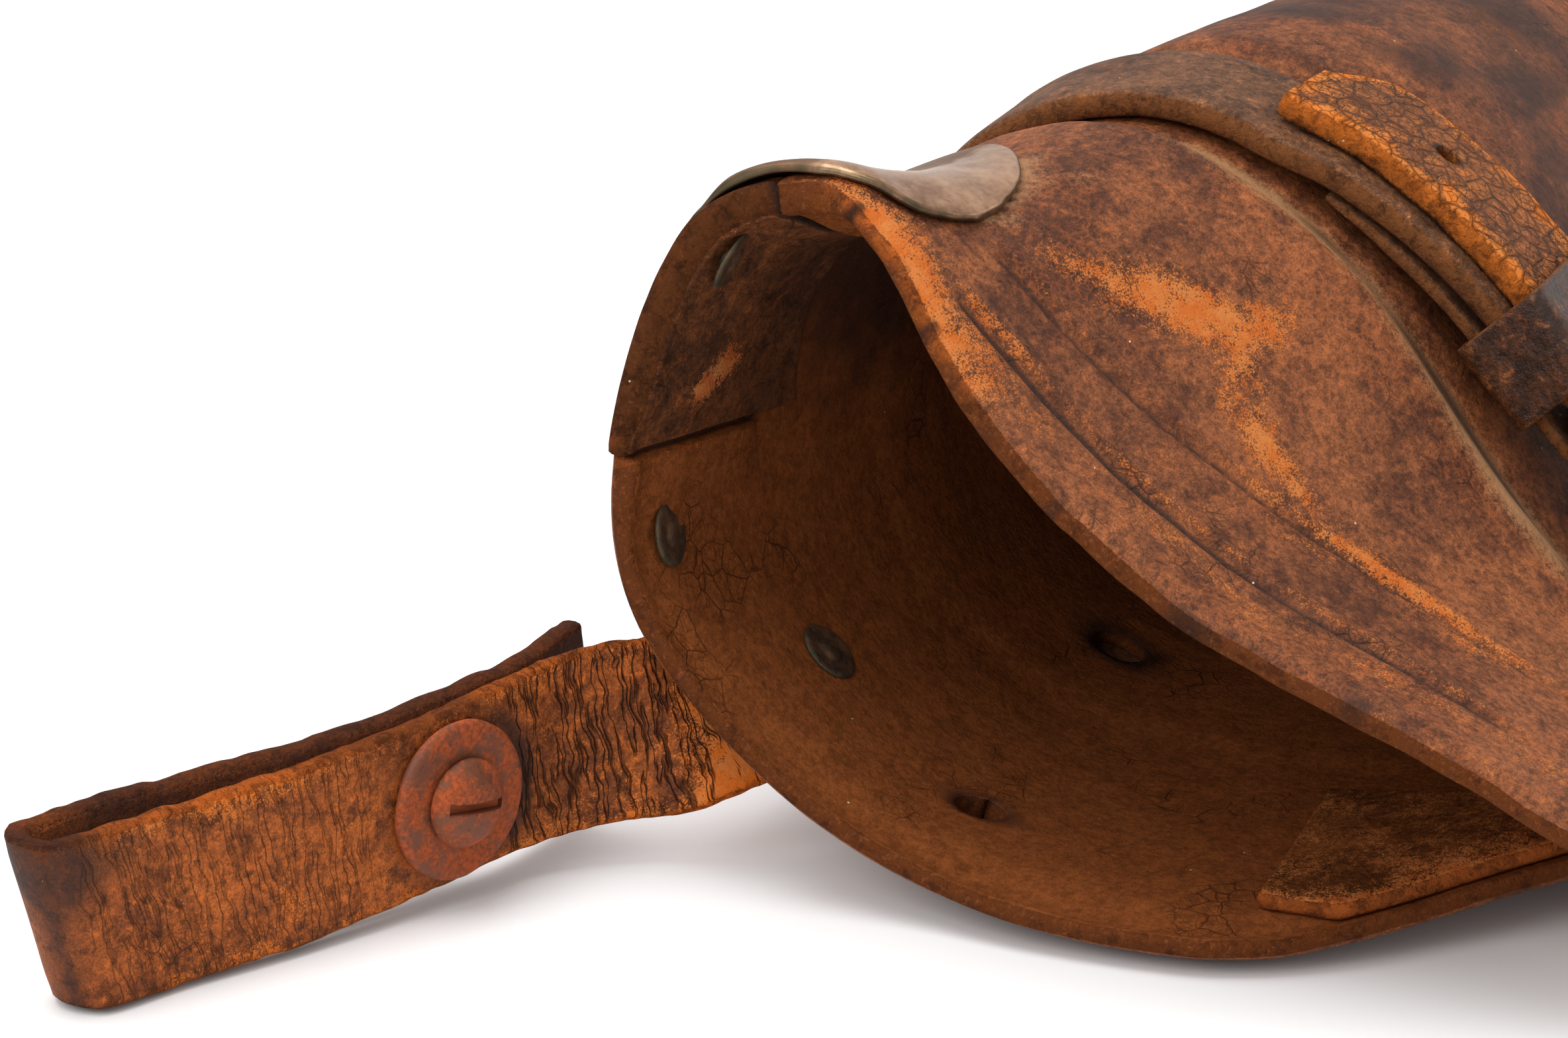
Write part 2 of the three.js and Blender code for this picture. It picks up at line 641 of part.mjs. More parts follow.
function buckleFrame(place) {
  const path = [];
  const corner = (s, x, from) =>
    steps(from, from + 90, 3).forEach((a) => {
      const r = THREE.MathUtils.degToRad(a);
      path.push([s + 3 * Math.cos(r), x + 3 * Math.sin(r)]);
    });
  corner(-3, FRAME_HALF - 3, 0);
  corner(3 - BUCKLE_LENGTH, FRAME_HALF - 3, 90);
  corner(3 - BUCKLE_LENGTH, 3 - FRAME_HALF, 180);
  corner(-3, 3 - FRAME_HALF, 270);
  const height = (s) => lerp(BAR_H, OUTER_BAR_H, -s / BUCKLE_LENGTH);
  return rod(path.map(([s, x]) => place(s, height(s), x)), BAR_R, 8, true, place.normal);
}

// The tongue's ring turns on the bar, and its tip rests on the frame's far bar.
const TONGUE_R = 1.1;
const RING_R = BAR_R + 0.3 + TONGUE_R;
function buckleTongue(place) {
  const ring = steps(0, 360, 12).slice(0, 12).map((a) => {
    const r = THREE.MathUtils.degToRad(a);
    return place(RING_R * Math.cos(r), BAR_H + RING_R * Math.sin(r), 0);
  });
  const pin = [[-RING_R, BAR_H + 0.4], [-6, 8], [-12, 9.2], [-20, 10.1], [-24, 10]];
  const tip = rod(pin.map(([s, h]) => place(s, h, 0)), TONGUE_R, 8);
  return geometryOfSolid(solidOf(rod(ring, TONGUE_R, 8, true)).add(solidOf(tip)));
}

// The keeper is a closed band round the strap, its folded end and the free end on top.
const KEEPER_THICK = 1.4;
function keeper(route, x0) {
  const low = 0.15;
  const high = 14.6;
  const front = x0 - STRAP_WIDTH / 2 - 0.6;
  const back = x0 + STRAP_WIDTH / 2 + BILLET_SHIFT / 2 + 0.6;
  const t = KEEPER_THICK;
  const loop = (grow) => {
    const b = 1.5 * (1 - (1 - grow / t) * 0.6);
    const [l, r] = [front - grow, back + grow];
    const [d, u] = [low + t - grow, high + grow];
    return [
      [l + b, d], [r - b, d], [r, d + b], [r, u - b], [r - b, u], [l + b, u], [l, u - b], [l, d + b],
    ];
  };
  const band = (grow) =>
    loop(grow).map(([x, h]) =>
      steps(KEEPER_FROM, KEEPER_TO, 3).map((s) => {
        const [y, z] = route.at(s, h);
        return vec(x, y, z);
      }),
    );
  return slab(band(t), band(0), true);
}

function strapSet(side, x0, start) {
  const route = strapRoute(x0, start);
  const origin = route.at(0, 0);
  const ahead = route.at(-BUCKLE_LENGTH, 0);
  const along = vec(0, origin[0] - ahead[0], origin[1] - ahead[1]).normalize();
  const normal = vec(0, -along.z, along.y);
  const place = (s, h, x) =>
    vec(x0 + x, origin[0], origin[1]).addScaledVector(along, s).addScaledVector(normal, h);
  place.normal = normal;
  const slots = [
    buckleBox(place, -13.5, -2.5, 2.6, 15, 1.9),
    buckleBox(place, -5, 4.6, 1, 10.2, 1.9),
  ];
  const hole = (s) => {
    const [y, z] = route.at(s, 0);
    const [y1, z1] = route.at(s, 10);
    const axis = vec(0, y1 - y, z1 - z).normalize();
    return turned([[0, 5.4], [HOLE_R, 5.4], [HOLE_R, 16], [0, 16]], 10, vec(x0 + BILLET_SHIFT, y, z), axis);
  };
  add(`${side}_strap`, cut(strip(route, x0, strapStops(route)), slots), MATERIALS.strap);
  add(
    `${side}_strap_end`,
    cut(strip(route, x0, billetStops(route.length), STRAP_WIDTH - 1), [hole(HINGE_S + 20)]),
    MATERIALS.hanger,
  );
  add(`${side}_keeper`, keeper(route, x0), MATERIALS.keeper);
  add(`${side}_buckle_frame`, buckleFrame(place), MATERIALS.iron);
  add(`${side}_buckle_tongue`, buckleTongue(place), MATERIALS.iron);
}

// ---------- Hanging strap ----------
// Middle line of the strap with the direction of its width, from the rivet to the loop and back.
const HANGER_FRONT = [
  [-71.5, 63.5, 20], [-76.5, 71, 18.9], [-82.5, 78, 17.8], [-89.8, 82.5, 16.8], [-100.6, 87.3, 15.8],
  [-111.4, 92.1, 14.9], [-123.8, 98.3, 13.8], [-135, 104.6, 13.2], [-146.5, 111.2, 12.8],
];
const LOOP_CENTRE = [-154, 119.5, 12.8];
const LOOP_R = 4.6;
const HANGER_BACK = [
  [-141, 118.6, 13], [-130, 110, 13.8], [-119, 101.4, 15], [-109.7, 95.9, 15.5], [-98.9, 91.1, 16],
  [-88, 86.3, 16.8], [-79, 84.2, 17.2], [-65.5, 83.2, 17.5],
];
const STUD_AT = 4; // index in HANGER_FRONT

function hangerLine() {
  const lift = HANGER_THICK / 2 + CLEAR;
  const onWall = (q, x) => bodyFrame(q, x, lift);
  const wall = [[9.33, -40], [9.3, -46.5], [9.3, -53], [9.28, -60]].map(([q, x]) => onWall(q, x));
  const wallWide = wall[2].normal.clone().cross(vec(1, 0, 0)).normalize();
  if (wallWide.z < 0) wallWide.negate();
  const points = wall.map((w) => w.at);
  HANGER_FRONT.forEach((p) => points.push(vec(...p)));
  const studFront = points[wall.length + STUD_AT];
  for (const a of steps(225, 75, 5)) {
    const r = THREE.MathUtils.degToRad(a);
    points.push(vec(...LOOP_CENTRE).add(vec(LOOP_R * Math.cos(r), LOOP_R * Math.sin(r), 0)));
  }
  const backStart = points.length;
  HANGER_BACK.forEach((p) => points.push(vec(...p)));
  const wide = points.map((p, i) => {
    const t = smooth(0, 4, i - 3);
    return wallWide.clone().lerp(vec(0, 0, 1), t).normalize();
  });
  return { points, wide, studFront, studBack: points[backStart + STUD_AT], rivetNormal: wall[2].normal };
}

function hanger(line) {
  const { points, wide } = line;
  const rows = { outer: [], inner: [] };
  points.forEach((p, i) => {
    const before = points[Math.max(i - 1, 0)];
    const after = points[Math.min(i + 1, points.length - 1)];
    const along = after.clone().sub(before).normalize();
    const w = wide[i].clone().addScaledVector(along, -wide[i].dot(along)).normalize();
    const n = along.clone().cross(w).normalize();
    for (const [key, sign] of [["outer", 1], ["inner", -1]]) {
      const c = p.clone().addScaledVector(n, (sign * HANGER_THICK) / 2);
      rows[key].push(
        [-0.5, 0, 0.5].map((k) => {
          const edge = c.clone().addScaledVector(w, k * HANGER_WIDTH);
          edge.z = Math.max(edge.z, 0);
          return edge;
        }),
      );
    }
  });
  return slab(rows.outer, rows.inner);
}

function studPieces(line) {
  const axis = line.studFront.clone().sub(line.studBack).setZ(0).normalize();
  const face = line.studFront.clone().addScaledVector(axis, HANGER_THICK / 2);
  const back = line.studBack.clone().addScaledVector(axis, -HANGER_THICK / 2);
  const depth = face.clone().sub(back).dot(axis);
  const washer = [[3.2, 0.4], [11.3, 0.4], [11.3, 1.3], [10.4, 1.9], [3.2, 1.9], [3.2, 0.4]];
  const end = -depth - 3.6;
  const screw = (g) => [
    [0, end - g],
    [2.7 + g, end - g],
    [2.7 + g, 2.25 - g],
    [6.3 + g, 2.25 - g],
    [6.3 + g, 3 + g],
    [4.8 + g, 4.6 + g],
    [2.4 + g, 5.4 + g],
    [0, 5.6 + g],
  ];
  const nut = [
    [3.1, -depth - 0.5], [3.1, -depth - 2.7], [7.4, -depth - 2.7], [8, -depth - 2], [8, -depth - 0.5], [3.1, -depth - 0.5],
  ];
  const slotAcross = vec(0, 0, 1).cross(axis).normalize();
  const slotUp = vec(0, 0, 1);
  const slotCorner = (a, b, c) =>
    face.clone().addScaledVector(slotAcross, a * 7).addScaledVector(slotUp, b * 0.6).addScaledVector(axis, c);
  const grid = (c) => [-1, 1].map((a) => [-1, 1].map((b) => slotCorner(a, b, c)));
  return {
    washer: turned(washer, 28, face, axis),
    screw: cut(turned(screw(0), 20, face, axis), [slab(grid(7), grid(4))]),
    hole: turned([[0, -depth - 8], [3.1, -depth - 8], [3.1, 8], [0, 8]], 16, face, axis),
    nut: turned(nut, 16, face, axis),
  };
}

// ---------- Assembly ----------
const scabbard = new THREE.Group();
scabbard.name = "saddle_scabbard";
function add(name, geometry, material) {
  const mesh = new THREE.Mesh(geometry, material.clone());
  mesh.name = name;
  scabbard.add(mesh);
}

add("body_shell", bodyShell(), MATERIALS.body);
add("seam_welt", seamWelt(), MATERIALS.welt);
add("seam_thread_upper", seamThread(THREAD_Q), MATERIALS.thread);
add("seam_thread_lower", seamThread(LAST - THREAD_Q), MATERIALS.thread);
add("throat_guard", throatGuard(), MATERIALS.brass);
add("throat_lining", throatLining(), MATERIALS.lining);
add("seam_patch", seamPatch(), MATERIALS.lining);
for (const r of RIVETS) add(r.name, rivetSolid(r), MATERIALS.copper);

add("toe_plug", toePlug(), MATERIALS.welt);
toeRivets().forEach((geometry, i) => add(`toe_rivet_${i + 1}`, geometry, MATERIALS.copper));

const line = hangerLine();
const stud = studPieces(line);
add("hanging_strap", cut(hanger(line), [...rivetHoles(), stud.hole]), MATERIALS.hanger);
add("stud_washer", stud.washer, MATERIALS.iron);
add("stud_screw", stud.screw, MATERIALS.iron);
add("stud_nut", stud.nut, MATERIALS.iron);

strapSet("front", FRONT_STRAP_X, FRONT_BUCKLE);
strapSet("rear", REAR_STRAP_X, REAR_BUCKLE);

export default scabbard;
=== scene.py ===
"""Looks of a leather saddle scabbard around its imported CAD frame.

Lengths are millimetres until a mesh is made, and its vertices are then metres in the CAD frame:
X runs from the mouth (-X) to the toe, +Y is the folded side, the sewn edge is at -Y and Z is up.
A place on the body's skin is (q, x): q runs from 0 at the near sewn edge over the fold to 13 at the
far sewn edge.
"""

import itertools
import math

import bpy
import numpy as np
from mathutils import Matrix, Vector


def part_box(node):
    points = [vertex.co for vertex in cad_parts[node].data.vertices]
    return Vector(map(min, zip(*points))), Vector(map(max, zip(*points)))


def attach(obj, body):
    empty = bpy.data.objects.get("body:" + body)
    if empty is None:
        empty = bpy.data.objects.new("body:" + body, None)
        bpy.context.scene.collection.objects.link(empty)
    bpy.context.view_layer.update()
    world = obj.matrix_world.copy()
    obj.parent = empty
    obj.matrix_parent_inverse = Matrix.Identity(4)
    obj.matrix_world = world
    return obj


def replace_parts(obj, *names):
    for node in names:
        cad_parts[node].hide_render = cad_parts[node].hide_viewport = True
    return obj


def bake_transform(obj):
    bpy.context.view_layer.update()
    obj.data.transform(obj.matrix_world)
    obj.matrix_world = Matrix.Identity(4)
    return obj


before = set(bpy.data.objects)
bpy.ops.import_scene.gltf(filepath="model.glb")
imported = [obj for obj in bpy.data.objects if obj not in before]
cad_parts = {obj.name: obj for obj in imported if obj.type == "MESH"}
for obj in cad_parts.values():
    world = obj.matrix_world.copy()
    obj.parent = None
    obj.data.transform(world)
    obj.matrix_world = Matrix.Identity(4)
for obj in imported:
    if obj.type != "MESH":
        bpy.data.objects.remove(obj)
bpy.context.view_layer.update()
MM = 0.001

# ---------- Driving dimensions in millimetres, the same as the CAD part's ----------
SHEET = 4.5
SKIVED = 3.0
SKIVE_RUN = 12.0
TOE_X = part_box("body_shell")[1].x / MM
SEAM_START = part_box("seam_welt")[0].x / MM
MOUTH_END = -22.0
STRAP_WIDTH = 24.0
STRAP_THICK = 4.0
BILLET_SHIFT = 3.0
TIP_SHIFT = 5.0
BAR_R = 1.6
BUCKLE_LENGTH = 20.0
HANGER_WIDTH = 25.4
HANGER_THICK = 3.8
GUARD_THICK = 1.3
GUARD_GAP = 0.5
PATCH_THICK = 2.0
LINING_GAP = 0.6
CLEAR = 0.35

# The body's outlines: x, then (y, z) from the near sewn edge over the fold to the far one.
STATIONS = [
    (-92, [(-92, 25), (-76, 28), (-50, 40), (-16, 53.5), (11, 73), (32, 94.5), (48, 102.5),
           (64.7, 94), (72.2, 62), (64.6, 33.3), (29.2, 7.4), (-22, 2), (-66, 9), (-88, 6)]),
    (0, [(-84, 17.5), (-70, 20.5), (-56, 32), (-41, 51), (-20, 79), (6, 95.5), (29, 96.5),
         (48, 83), (59, 56), (53, 26), (27, 4.6), (-16, 1.2), (-60, 6.5), (-82, 4)]),
    (45, [(-82, 17), (-68, 20), (-55, 34), (-41, 54), (-22, 80), (-2, 95), (18, 97.5),
          (38, 86), (53, 60), (49, 27), (26, 4.6), (-16, 1.5), (-58, 7), (-80, 3.5)]),
    (300, [(-72, 16), (-58, 19), (-46, 28), (-33, 42), (-17, 57), (1, 66), (16, 67),
           (30, 60), (39, 42), (34, 18), (18, 3.5), (-12, 1.8), (-50, 6.5), (-70, 3)]),
    (420, [(-64, 15), (-50, 18), (-40, 25), (-28, 36), (-14, 47), (0, 53), (13, 53.5),
           (25, 48), (32, 34), (28, 15), (15, 4), (-10, 2), (-44, 6), (-62, 2.5)]),
]
# x of the mouth's edge at q = 0 to 13.
RIM = np.array([-90, -92, -93, -92, -89, -79, -72, -75, -81, -84, -86, -87, -51, -30], float)
GROOVES = [(0.0, 3.0), (300.0, 2.0)]  # where along X a strap presses the body, and how deep
GROOVE_FLAT = 14.5
GROOVE_END = 22.0
SADDLE_Q, SADDLE_X = 6.2, -50.0  # behind the flared mouth the fold sinks into a saddle
SADDLE_DEPTH = 6.0
SADDLE_REACH_Q = 1.1
SADDLE_TO_MOUTH = 17.0  # its slope to the mouth is the steeper one
SADDLE_TO_TOE = 24.0
LAST = 13.0

# Each station's outline, and how fast its points move along X there.
STATION_X = np.array([x for x, _ in STATIONS], float)
OUTLINES = np.array([points for _, points in STATIONS], float)
SLOPES = np.zeros_like(OUTLINES)
for i in range(2, len(STATIONS)):
    after = min(i + 1, len(STATIONS) - 1)
    SLOPES[i] = (OUTLINES[after] - OUTLINES[i - 1]) / (STATION_X[after] - STATION_X[i - 1])


# ---------- Numbers ----------
def smooth(low, high, x):
    t = np.clip((x - low) / (high - low), 0, 1)
    return t * t * (3 - 2 * t)


def lerp(a, b, t):
    return a + (b - a) * t


def bump_at(x, centre, width):
    """A bell of height 1 at centre."""
    return np.exp(-(((x - centre) / width) ** 2))


def band(x, start, full, fade, end):
    """0 up to start, 1 from full to fade, and 0 again from end on."""
    return smooth(start, full, x) * (1 - smooth(fade, end, x))


def unit(v):
    return v / np.maximum(np.linalg.norm(v, axis=-1, keepdims=True), 1e-9)


def lattice(cell, seed):
    """A repeatable number from 0 to 1 for each whole-numbered cell."""
    h = (cell[..., 0] * 374761393 + cell[..., 1] * 668265263 + cell[..., 2] * 1274126177)
    h = (h + seed * 974634777) & 0xFFFFFFFF
    h = ((h ^ (h >> 13)) * 1274126177) & 0xFFFFFFFF
    return ((h ^ (h >> 16)) & 0xFFFFFF) / 0xFFFFFF


def noise(p, size, seed=0, octaves=1):
    """Smooth noise from -1 to 1 at points p, with lumps about size across."""
    total = np.zeros(p.shape[:-1])
    weight = 0.0
    for octave in range(octaves):
        g = p * (2**octave) / size
        cell = np.floor(g).astype(np.int64)
        f = g - cell
        f = f * f * (3 - 2 * f)
        layer = np.zeros(p.shape[:-1])
        for corner in itertools.product((0, 1), repeat=3):
            share = np.prod(np.where(np.array(corner) == 1, f, 1 - f), axis=-1)
            layer += share * lattice(cell + np.array(corner), seed + 17 * octave)
        total += (2 * layer - 1) / (2**octave)
        weight += 1 / (2**octave)
    return total / weight


def ripple(along, size, seed, row=0.0):
    """Noise along a line. Each row number has its own."""
    along, row = np.broadcast_arrays(along, row)
    return noise(np.stack([along, along * 0, row], axis=-1), size, seed, 2)


def curve(values, q):
    """Value and slope at q of the smooth curve through each row of values."""
    first = 2 * values[:, :1] - values[:, 1:2]
    last = 2 * values[:, -1:] - values[:, -2:-1]
    padded = np.hstack([first, values, last])
    i = np.clip(np.floor(q).astype(int), 0, values.shape[1] - 2)
    t = q - i
    row = np.arange(len(q))
    a, b, c, d = (padded[row, i + k] for k in range(4))
    k1 = c - a
    k2 = 2 * a - 5 * b + 4 * c - d
    k3 = 3 * b - a - 3 * c + d
    value = 0.5 * (2 * b + k1 * t + k2 * t * t + k3 * t**3)
    slope = 0.5 * (k1 + 2 * k2 * t + 3 * k3 * t * t)
    return value, slope


# ---------- The body's surface ----------
def outlines_at(x):
    inside = np.clip(x, STATION_X[0], STATION_X[-1])
    i = np.clip(np.searchsorted(STATION_X, inside) - 1, 0, len(STATION_X) - 2)
    d = (STATION_X[i + 1] - STATION_X[i])[:, None, None]
    t = (inside - STATION_X[i])[:, None, None] / d
    start = (2 * t**3 - 3 * t**2 + 1) * OUTLINES[i] + (t**3 - 2 * t**2 + t) * d * SLOPES[i]
    end = (3 * t**2 - 2 * t**3) * OUTLINES[i + 1] + (t**3 - t**2) * d * SLOPES[i + 1]
    return start + end


def rim_at(q):
    q = np.asarray(q, float)
    return curve(np.tile(RIM, (q.size, 1)), q.ravel())[0].reshape(q.shape)


def pressed_at(q, x):
    """How deep the straps press the body."""
    grooves = sum(d * (1 - smooth(GROOVE_FLAT, GROOVE_END, abs(x - at))) for at, d in GROOVES)
    return band(q, 1, 3, 11, 12) * grooves


def sunk_at(q, x):
    reach = np.where(x < SADDLE_X, SADDLE_TO_MOUTH, SADDLE_TO_TOE)
    saddle = bump_at(q, SADDLE_Q, SADDLE_REACH_Q) * bump_at(x, SADDLE_X, reach)
    return pressed_at(q, x) + SADDLE_DEPTH * saddle


def body_frame(q, x):
    """Points on the body's outer face and the outward normals there."""
    q, x = np.broadcast_arrays(np.asarray(q, float), np.asarray(x, float))
    shape = q.shape
    q, x = q.ravel(), x.ravel()
    outline = outlines_at(x)
    y, y_slope = curve(outline[:, :, 0], q)
    z, z_slope = curve(outline[:, :, 1], q)
    normal = unit(np.stack([np.zeros_like(y), -z_slope, y_slope], axis=-1))
    at = np.stack([x, y, z], axis=-1) - normal * sunk_at(q, x)[:, None]
    return at.reshape(*shape, 3), normal.reshape(*shape, 3)


def on_body(q, x, lift=0.0):
    at, normal = body_frame(q, x)
    return at + normal * np.asarray(lift, float)[..., None]


def thickness_at(q, x):
    return lerp(SKIVED, SHEET, smooth(0, SKIVE_RUN, x - rim_at(q)))


# ---------- Meshes ----------
# The masks each piece carries. wear also holds painted highlights on the body, and dark holds painted
# shade on the body, lining, guard and hanging strap.
MASKS = ("wear", "dark", "dust", "edge", "flesh")


def make_object(name, points, faces, body, material, attributes):
    """A smooth-shaded piece from points in millimetres, for the CAD node of the same name."""
    mesh = bpy.data.meshes.new(name)
    mesh.from_pydata((points * MM).tolist(), [], faces)
    mesh.validate()
    mesh.shade_smooth()
    for key, values in attributes.items():
        kind, field = ("FLOAT_VECTOR", "vector") if values.ndim == 2 else ("FLOAT", "value")
        layer = mesh.attributes.new(key, kind, "POINT")
        layer.data.foreach_set(field, values.astype(np.float32).ravel())
    mesh.materials.append(material)
    obj = bpy.data.objects.new(name, mesh)
    bpy.context.scene.collection.objects.link(obj)
    if body:
        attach(obj, body)
    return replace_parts(obj, name)


def volume(points, faces):
    """Six times the volume, which is negative when the faces point inwards."""
    quads = np.array([f if len(f) == 4 else (*f, f[0]) for f in faces])
    a, b, c, d = (points[quads[:, k]] for k in range(4))
    return np.einsum("ij,ij->", a, np.cross(b, c)) + np.einsum("ij,ij->", a, np.cross(c, d))


def facing_out(points, faces):
    return [face[::-1] for face in faces] if volume(points, faces) < 0 else faces


def woven(rows, columns, row_ring=False, column_ring=False):
    """Squares between neighbours in a grid whose points are numbered row by row."""
    faces = []
    for i in range(rows if row_ring else rows - 1):
        k = (i + 1) % rows
        for j in range(columns if column_ring else columns - 1):
            m = (j + 1) % columns
            faces.append((i * columns + j, k * columns + j, k * columns + m, i * columns + m))
    return faces


def capped(rows, columns):
    """Squares of a tube of rings, with a fan at each end to one of the two points after them."""
    faces = woven(rows, columns, column_ring=True)
    last = (rows - 1) * columns
    for j in range(columns):
        m = (j + 1) % columns
        faces.append((j, m, rows * columns))
        faces.append((last + m, last + j, rows * columns + 1))
    return faces


def open_edges(quads, total):
    """Edges with a square on one side only, and those squares. total is the number of grid points."""
    edges = np.concatenate([quads[:, [k, (k + 1) % 4]] for k in range(4)])
    squares = np.tile(quads, (4, 1))
    pair = np.sort(edges, axis=1)
    _, first, count = np.unique(pair[:, 0] * total + pair[:, 1], return_index=True, return_counts=True)
    lone = first[count == 1]
    return edges[lone], squares[lone]


def away_from(points, edges, squares):
    """At each grid point on an open edge, the way out of the slab."""
    side = points[edges].mean(axis=1) - points[squares].mean(axis=1)
    along = unit(points[edges[:, 1]] - points[edges[:, 0]])
    side = unit(side - along * (side * along).sum(axis=1, keepdims=True))
    out = np.zeros_like(points)
    np.add.at(out, edges[:, 0], side)
    np.add.at(out, edges[:, 1], side)
    return unit(out)


def shell(outer, inner, keep, ring, bulge, rounds):
    """Points, faces and blend weights of a slab between two grids whose cut edges are rounded.

    Squares where keep is false are left open. bulge is how far a cut edge swells, as a share of the
    thickness: one number, or one for each grid point. Each point is a mix of an outer and an inner grid
    point: it comes back as (grid index, share of inner, 1 on the cut edge).
    """
    rows, columns = outer.shape[:2]
    total = rows * columns
    high = rows if ring else rows - 1
    if keep is None:
        keep = np.ones((high, columns - 1), bool)
    index = np.arange(total).reshape(rows, columns)
    following = np.roll(index, -1, axis=0)[:high]
    index = index[:high]
    corners = [index[:, :-1], following[:, :-1], following[:, 1:], index[:, 1:]]
    quads = np.stack(corners, axis=-1)[keep]
    edges, squares = open_edges(quads, total)

    outer, inner = outer.reshape(-1, 3), inner.reshape(-1, 3)
    middle = (outer + inner) / 2
    rim = np.unique(edges)
    place = np.full(total, -1)
    place[rim] = np.arange(len(rim))
    half = (outer[rim] - inner[rim]) / 2
    swell = np.broadcast_to(np.asarray(bulge, float), (rows, columns)).ravel()[rim]
    reach = np.linalg.norm(half, axis=1, keepdims=True) * 2 * swell[:, None]
    out = away_from(middle, edges, squares)[rim] * reach
    points, source = [outer, inner], [np.arange(total)] * 2
    share, cut = [np.zeros(total), np.ones(total)], [np.zeros(2 * total)]
    levels = [edges]
    for k in range(1, rounds + 1):
        turn = math.pi * k / (rounds + 1)
        points.append(middle[rim] + half * math.cos(turn) + out * math.sin(turn))
        source.append(rim)
        share.append(np.full(len(rim), k / (rounds + 1)))
        cut.append(np.ones(len(rim)))
        levels.append(place[edges] + 2 * total + (k - 1) * len(rim))
    levels.append(edges + total)
    faces = [quads, quads[:, ::-1] + total]
    faces += [np.hstack([near[:, ::-1], far]) for near, far in zip(levels, levels[1:])]
    points, faces, source, share, cut = map(np.concatenate, (points, faces, source, share, cut))
    used, faces = np.unique(faces, return_inverse=True)
    faces = faces.reshape(-1, 4)
    points, source, share, cut = points[used], source[used], share[used], cut[used]
    if volume(points, faces) < 0:
        faces = faces[:, ::-1]
    return points, faces, (source, share, cut)


def slab_object(name, outer, inner, body, material, flow, masks, keep=None, ring=False,
                bulge=0.4, rounds=3, edge_reach=None):
    """A rounded slab as an object. masks hold (outer, inner) grids, and flow is (along, across)."""
    points, faces, (source, share, cut) = shell(outer, inner, keep, ring, bulge, rounds)
    attributes = {"rest": points}
    along, across = (np.broadcast_to(f, outer.shape[:2]).ravel()[source] for f in flow)
    attributes["flow"] = np.stack([along, across, share * 10], axis=-1)
    for key in dict.fromkeys((*MASKS, *masks)):
        pair = masks.get(key, (0.0, 0.0))
        two = [np.broadcast_to(np.asarray(m, float), outer.shape[:2]).ravel()[source] for m in pair]
        attributes[key] = lerp(two[0], two[1], share)
    near = cut if edge_reach is None else np.maximum(cut, edge_reach.ravel()[source])
    attributes["edge"] = np.maximum(attributes["edge"], near)
    return make_object(name, points, faces.tolist(), body, material, attributes)


def square_middles(grid):
    return (grid[:-1, :-1] + grid[1:, :-1] + grid[1:, 1:] + grid[:-1, 1:]) / 4


def strip_grid(lengths, widths):
    """Grids of length and width along a strip, and its squares, all kept."""
    s, w = np.meshgrid(lengths, widths, indexing="ij")
    return s, w, np.ones((s.shape[0] - 1, s.shape[1] - 1), bool)


def punched(u, v, keep, centre, radii):
    """Opens an oval hole in a grid of (u, v): its squares go and its border nodes move onto the oval."""
    def from_centre(u, v):
        return np.hypot((u - centre[0]) / radii[0], (v - centre[1]) / radii[1])

    gone = from_centre(square_middles(u), square_middles(v)) < 1
    touches = np.zeros(u.shape, bool)
    stays = np.zeros(u.shape, bool)
    for di, dj in itertools.product((0, 1), repeat=2):
        rows = slice(di, u.shape[0] - 1 + di)
        columns = slice(dj, u.shape[1] - 1 + dj)
        touches[rows, columns] |= gone
        stays[rows, columns] |= ~gone
    border = touches & stays
    far = np.where(border, np.maximum(from_centre(u, v), 1e-6), 1)
    u = np.where(border, centre[0] + (u - centre[0]) / far, u)
    v = np.where(border, centre[1] + (v - centre[1]) / far, v)
    return u, v, keep & ~gone


def refined(profile, step):
    """A profile's corners with points added between them, no further apart than step."""
    profile = np.array(profile, float)
    fine = [profile[0]]
    for p0, p1 in zip(profile, profile[1:]):
        count = max(1, math.ceil(np.hypot(*(p1 - p0)) / step))
        fine += [lerp(p0, p1, (k + 1) / count) for k in range(count)]
    return np.array(fine)


def circle(side, other, sides):
    """Spokes of a wheel, for each pair of its two crossing directions."""
    angles = np.linspace(0, 2 * math.pi, sides, endpoint=False)
    across, up = np.cos(angles)[:, None], np.sin(angles)[:, None]
    return across * side[..., None, :] + up * other[..., None, :]


def turned(fine, axis, sides):
    """Rings of points round an axis, one for each (radius, height) of a profile."""
    side = unit(np.cross(axis, [0, 0, 1] if abs(axis[2]) < 0.9 else [1, 0, 0]))
    around = circle(side, np.cross(axis, side), sides)
    return around, fine[:, None, :1] * around + fine[:, None, 1:] * axis


def rounded_edge(radius):
    """The mask of a turned piece's outer edge."""
    return smooth(0.55, 1, radius / radius.max())


def lathe(name, profile, sides, at, axis, body, material, rough=0.0, seed=0):
    """A turned solid. profile is (radius, height) from the axis round to the axis again."""
    axis = unit(np.array(axis, float))
    fine = refined(profile, 0.45)
    _, grid = turned(fine[1:-1], axis, sides)
    points = np.concatenate([grid.reshape(-1, 3), axis * fine[[0, -1], 1:]])
    radius = np.linalg.norm(points - np.outer(points @ axis, axis), axis=1)
    points = points + unit(points) * (noise(points + 50, 1.4, seed, 2) * rough)[:, None]
    faces = facing_out(points, capped(len(fine) - 2, sides))
    points = points + np.array(at, float)
    return make_object(name, points, faces, body, material,
                       {"rest": points, "edge": rounded_edge(radius)})


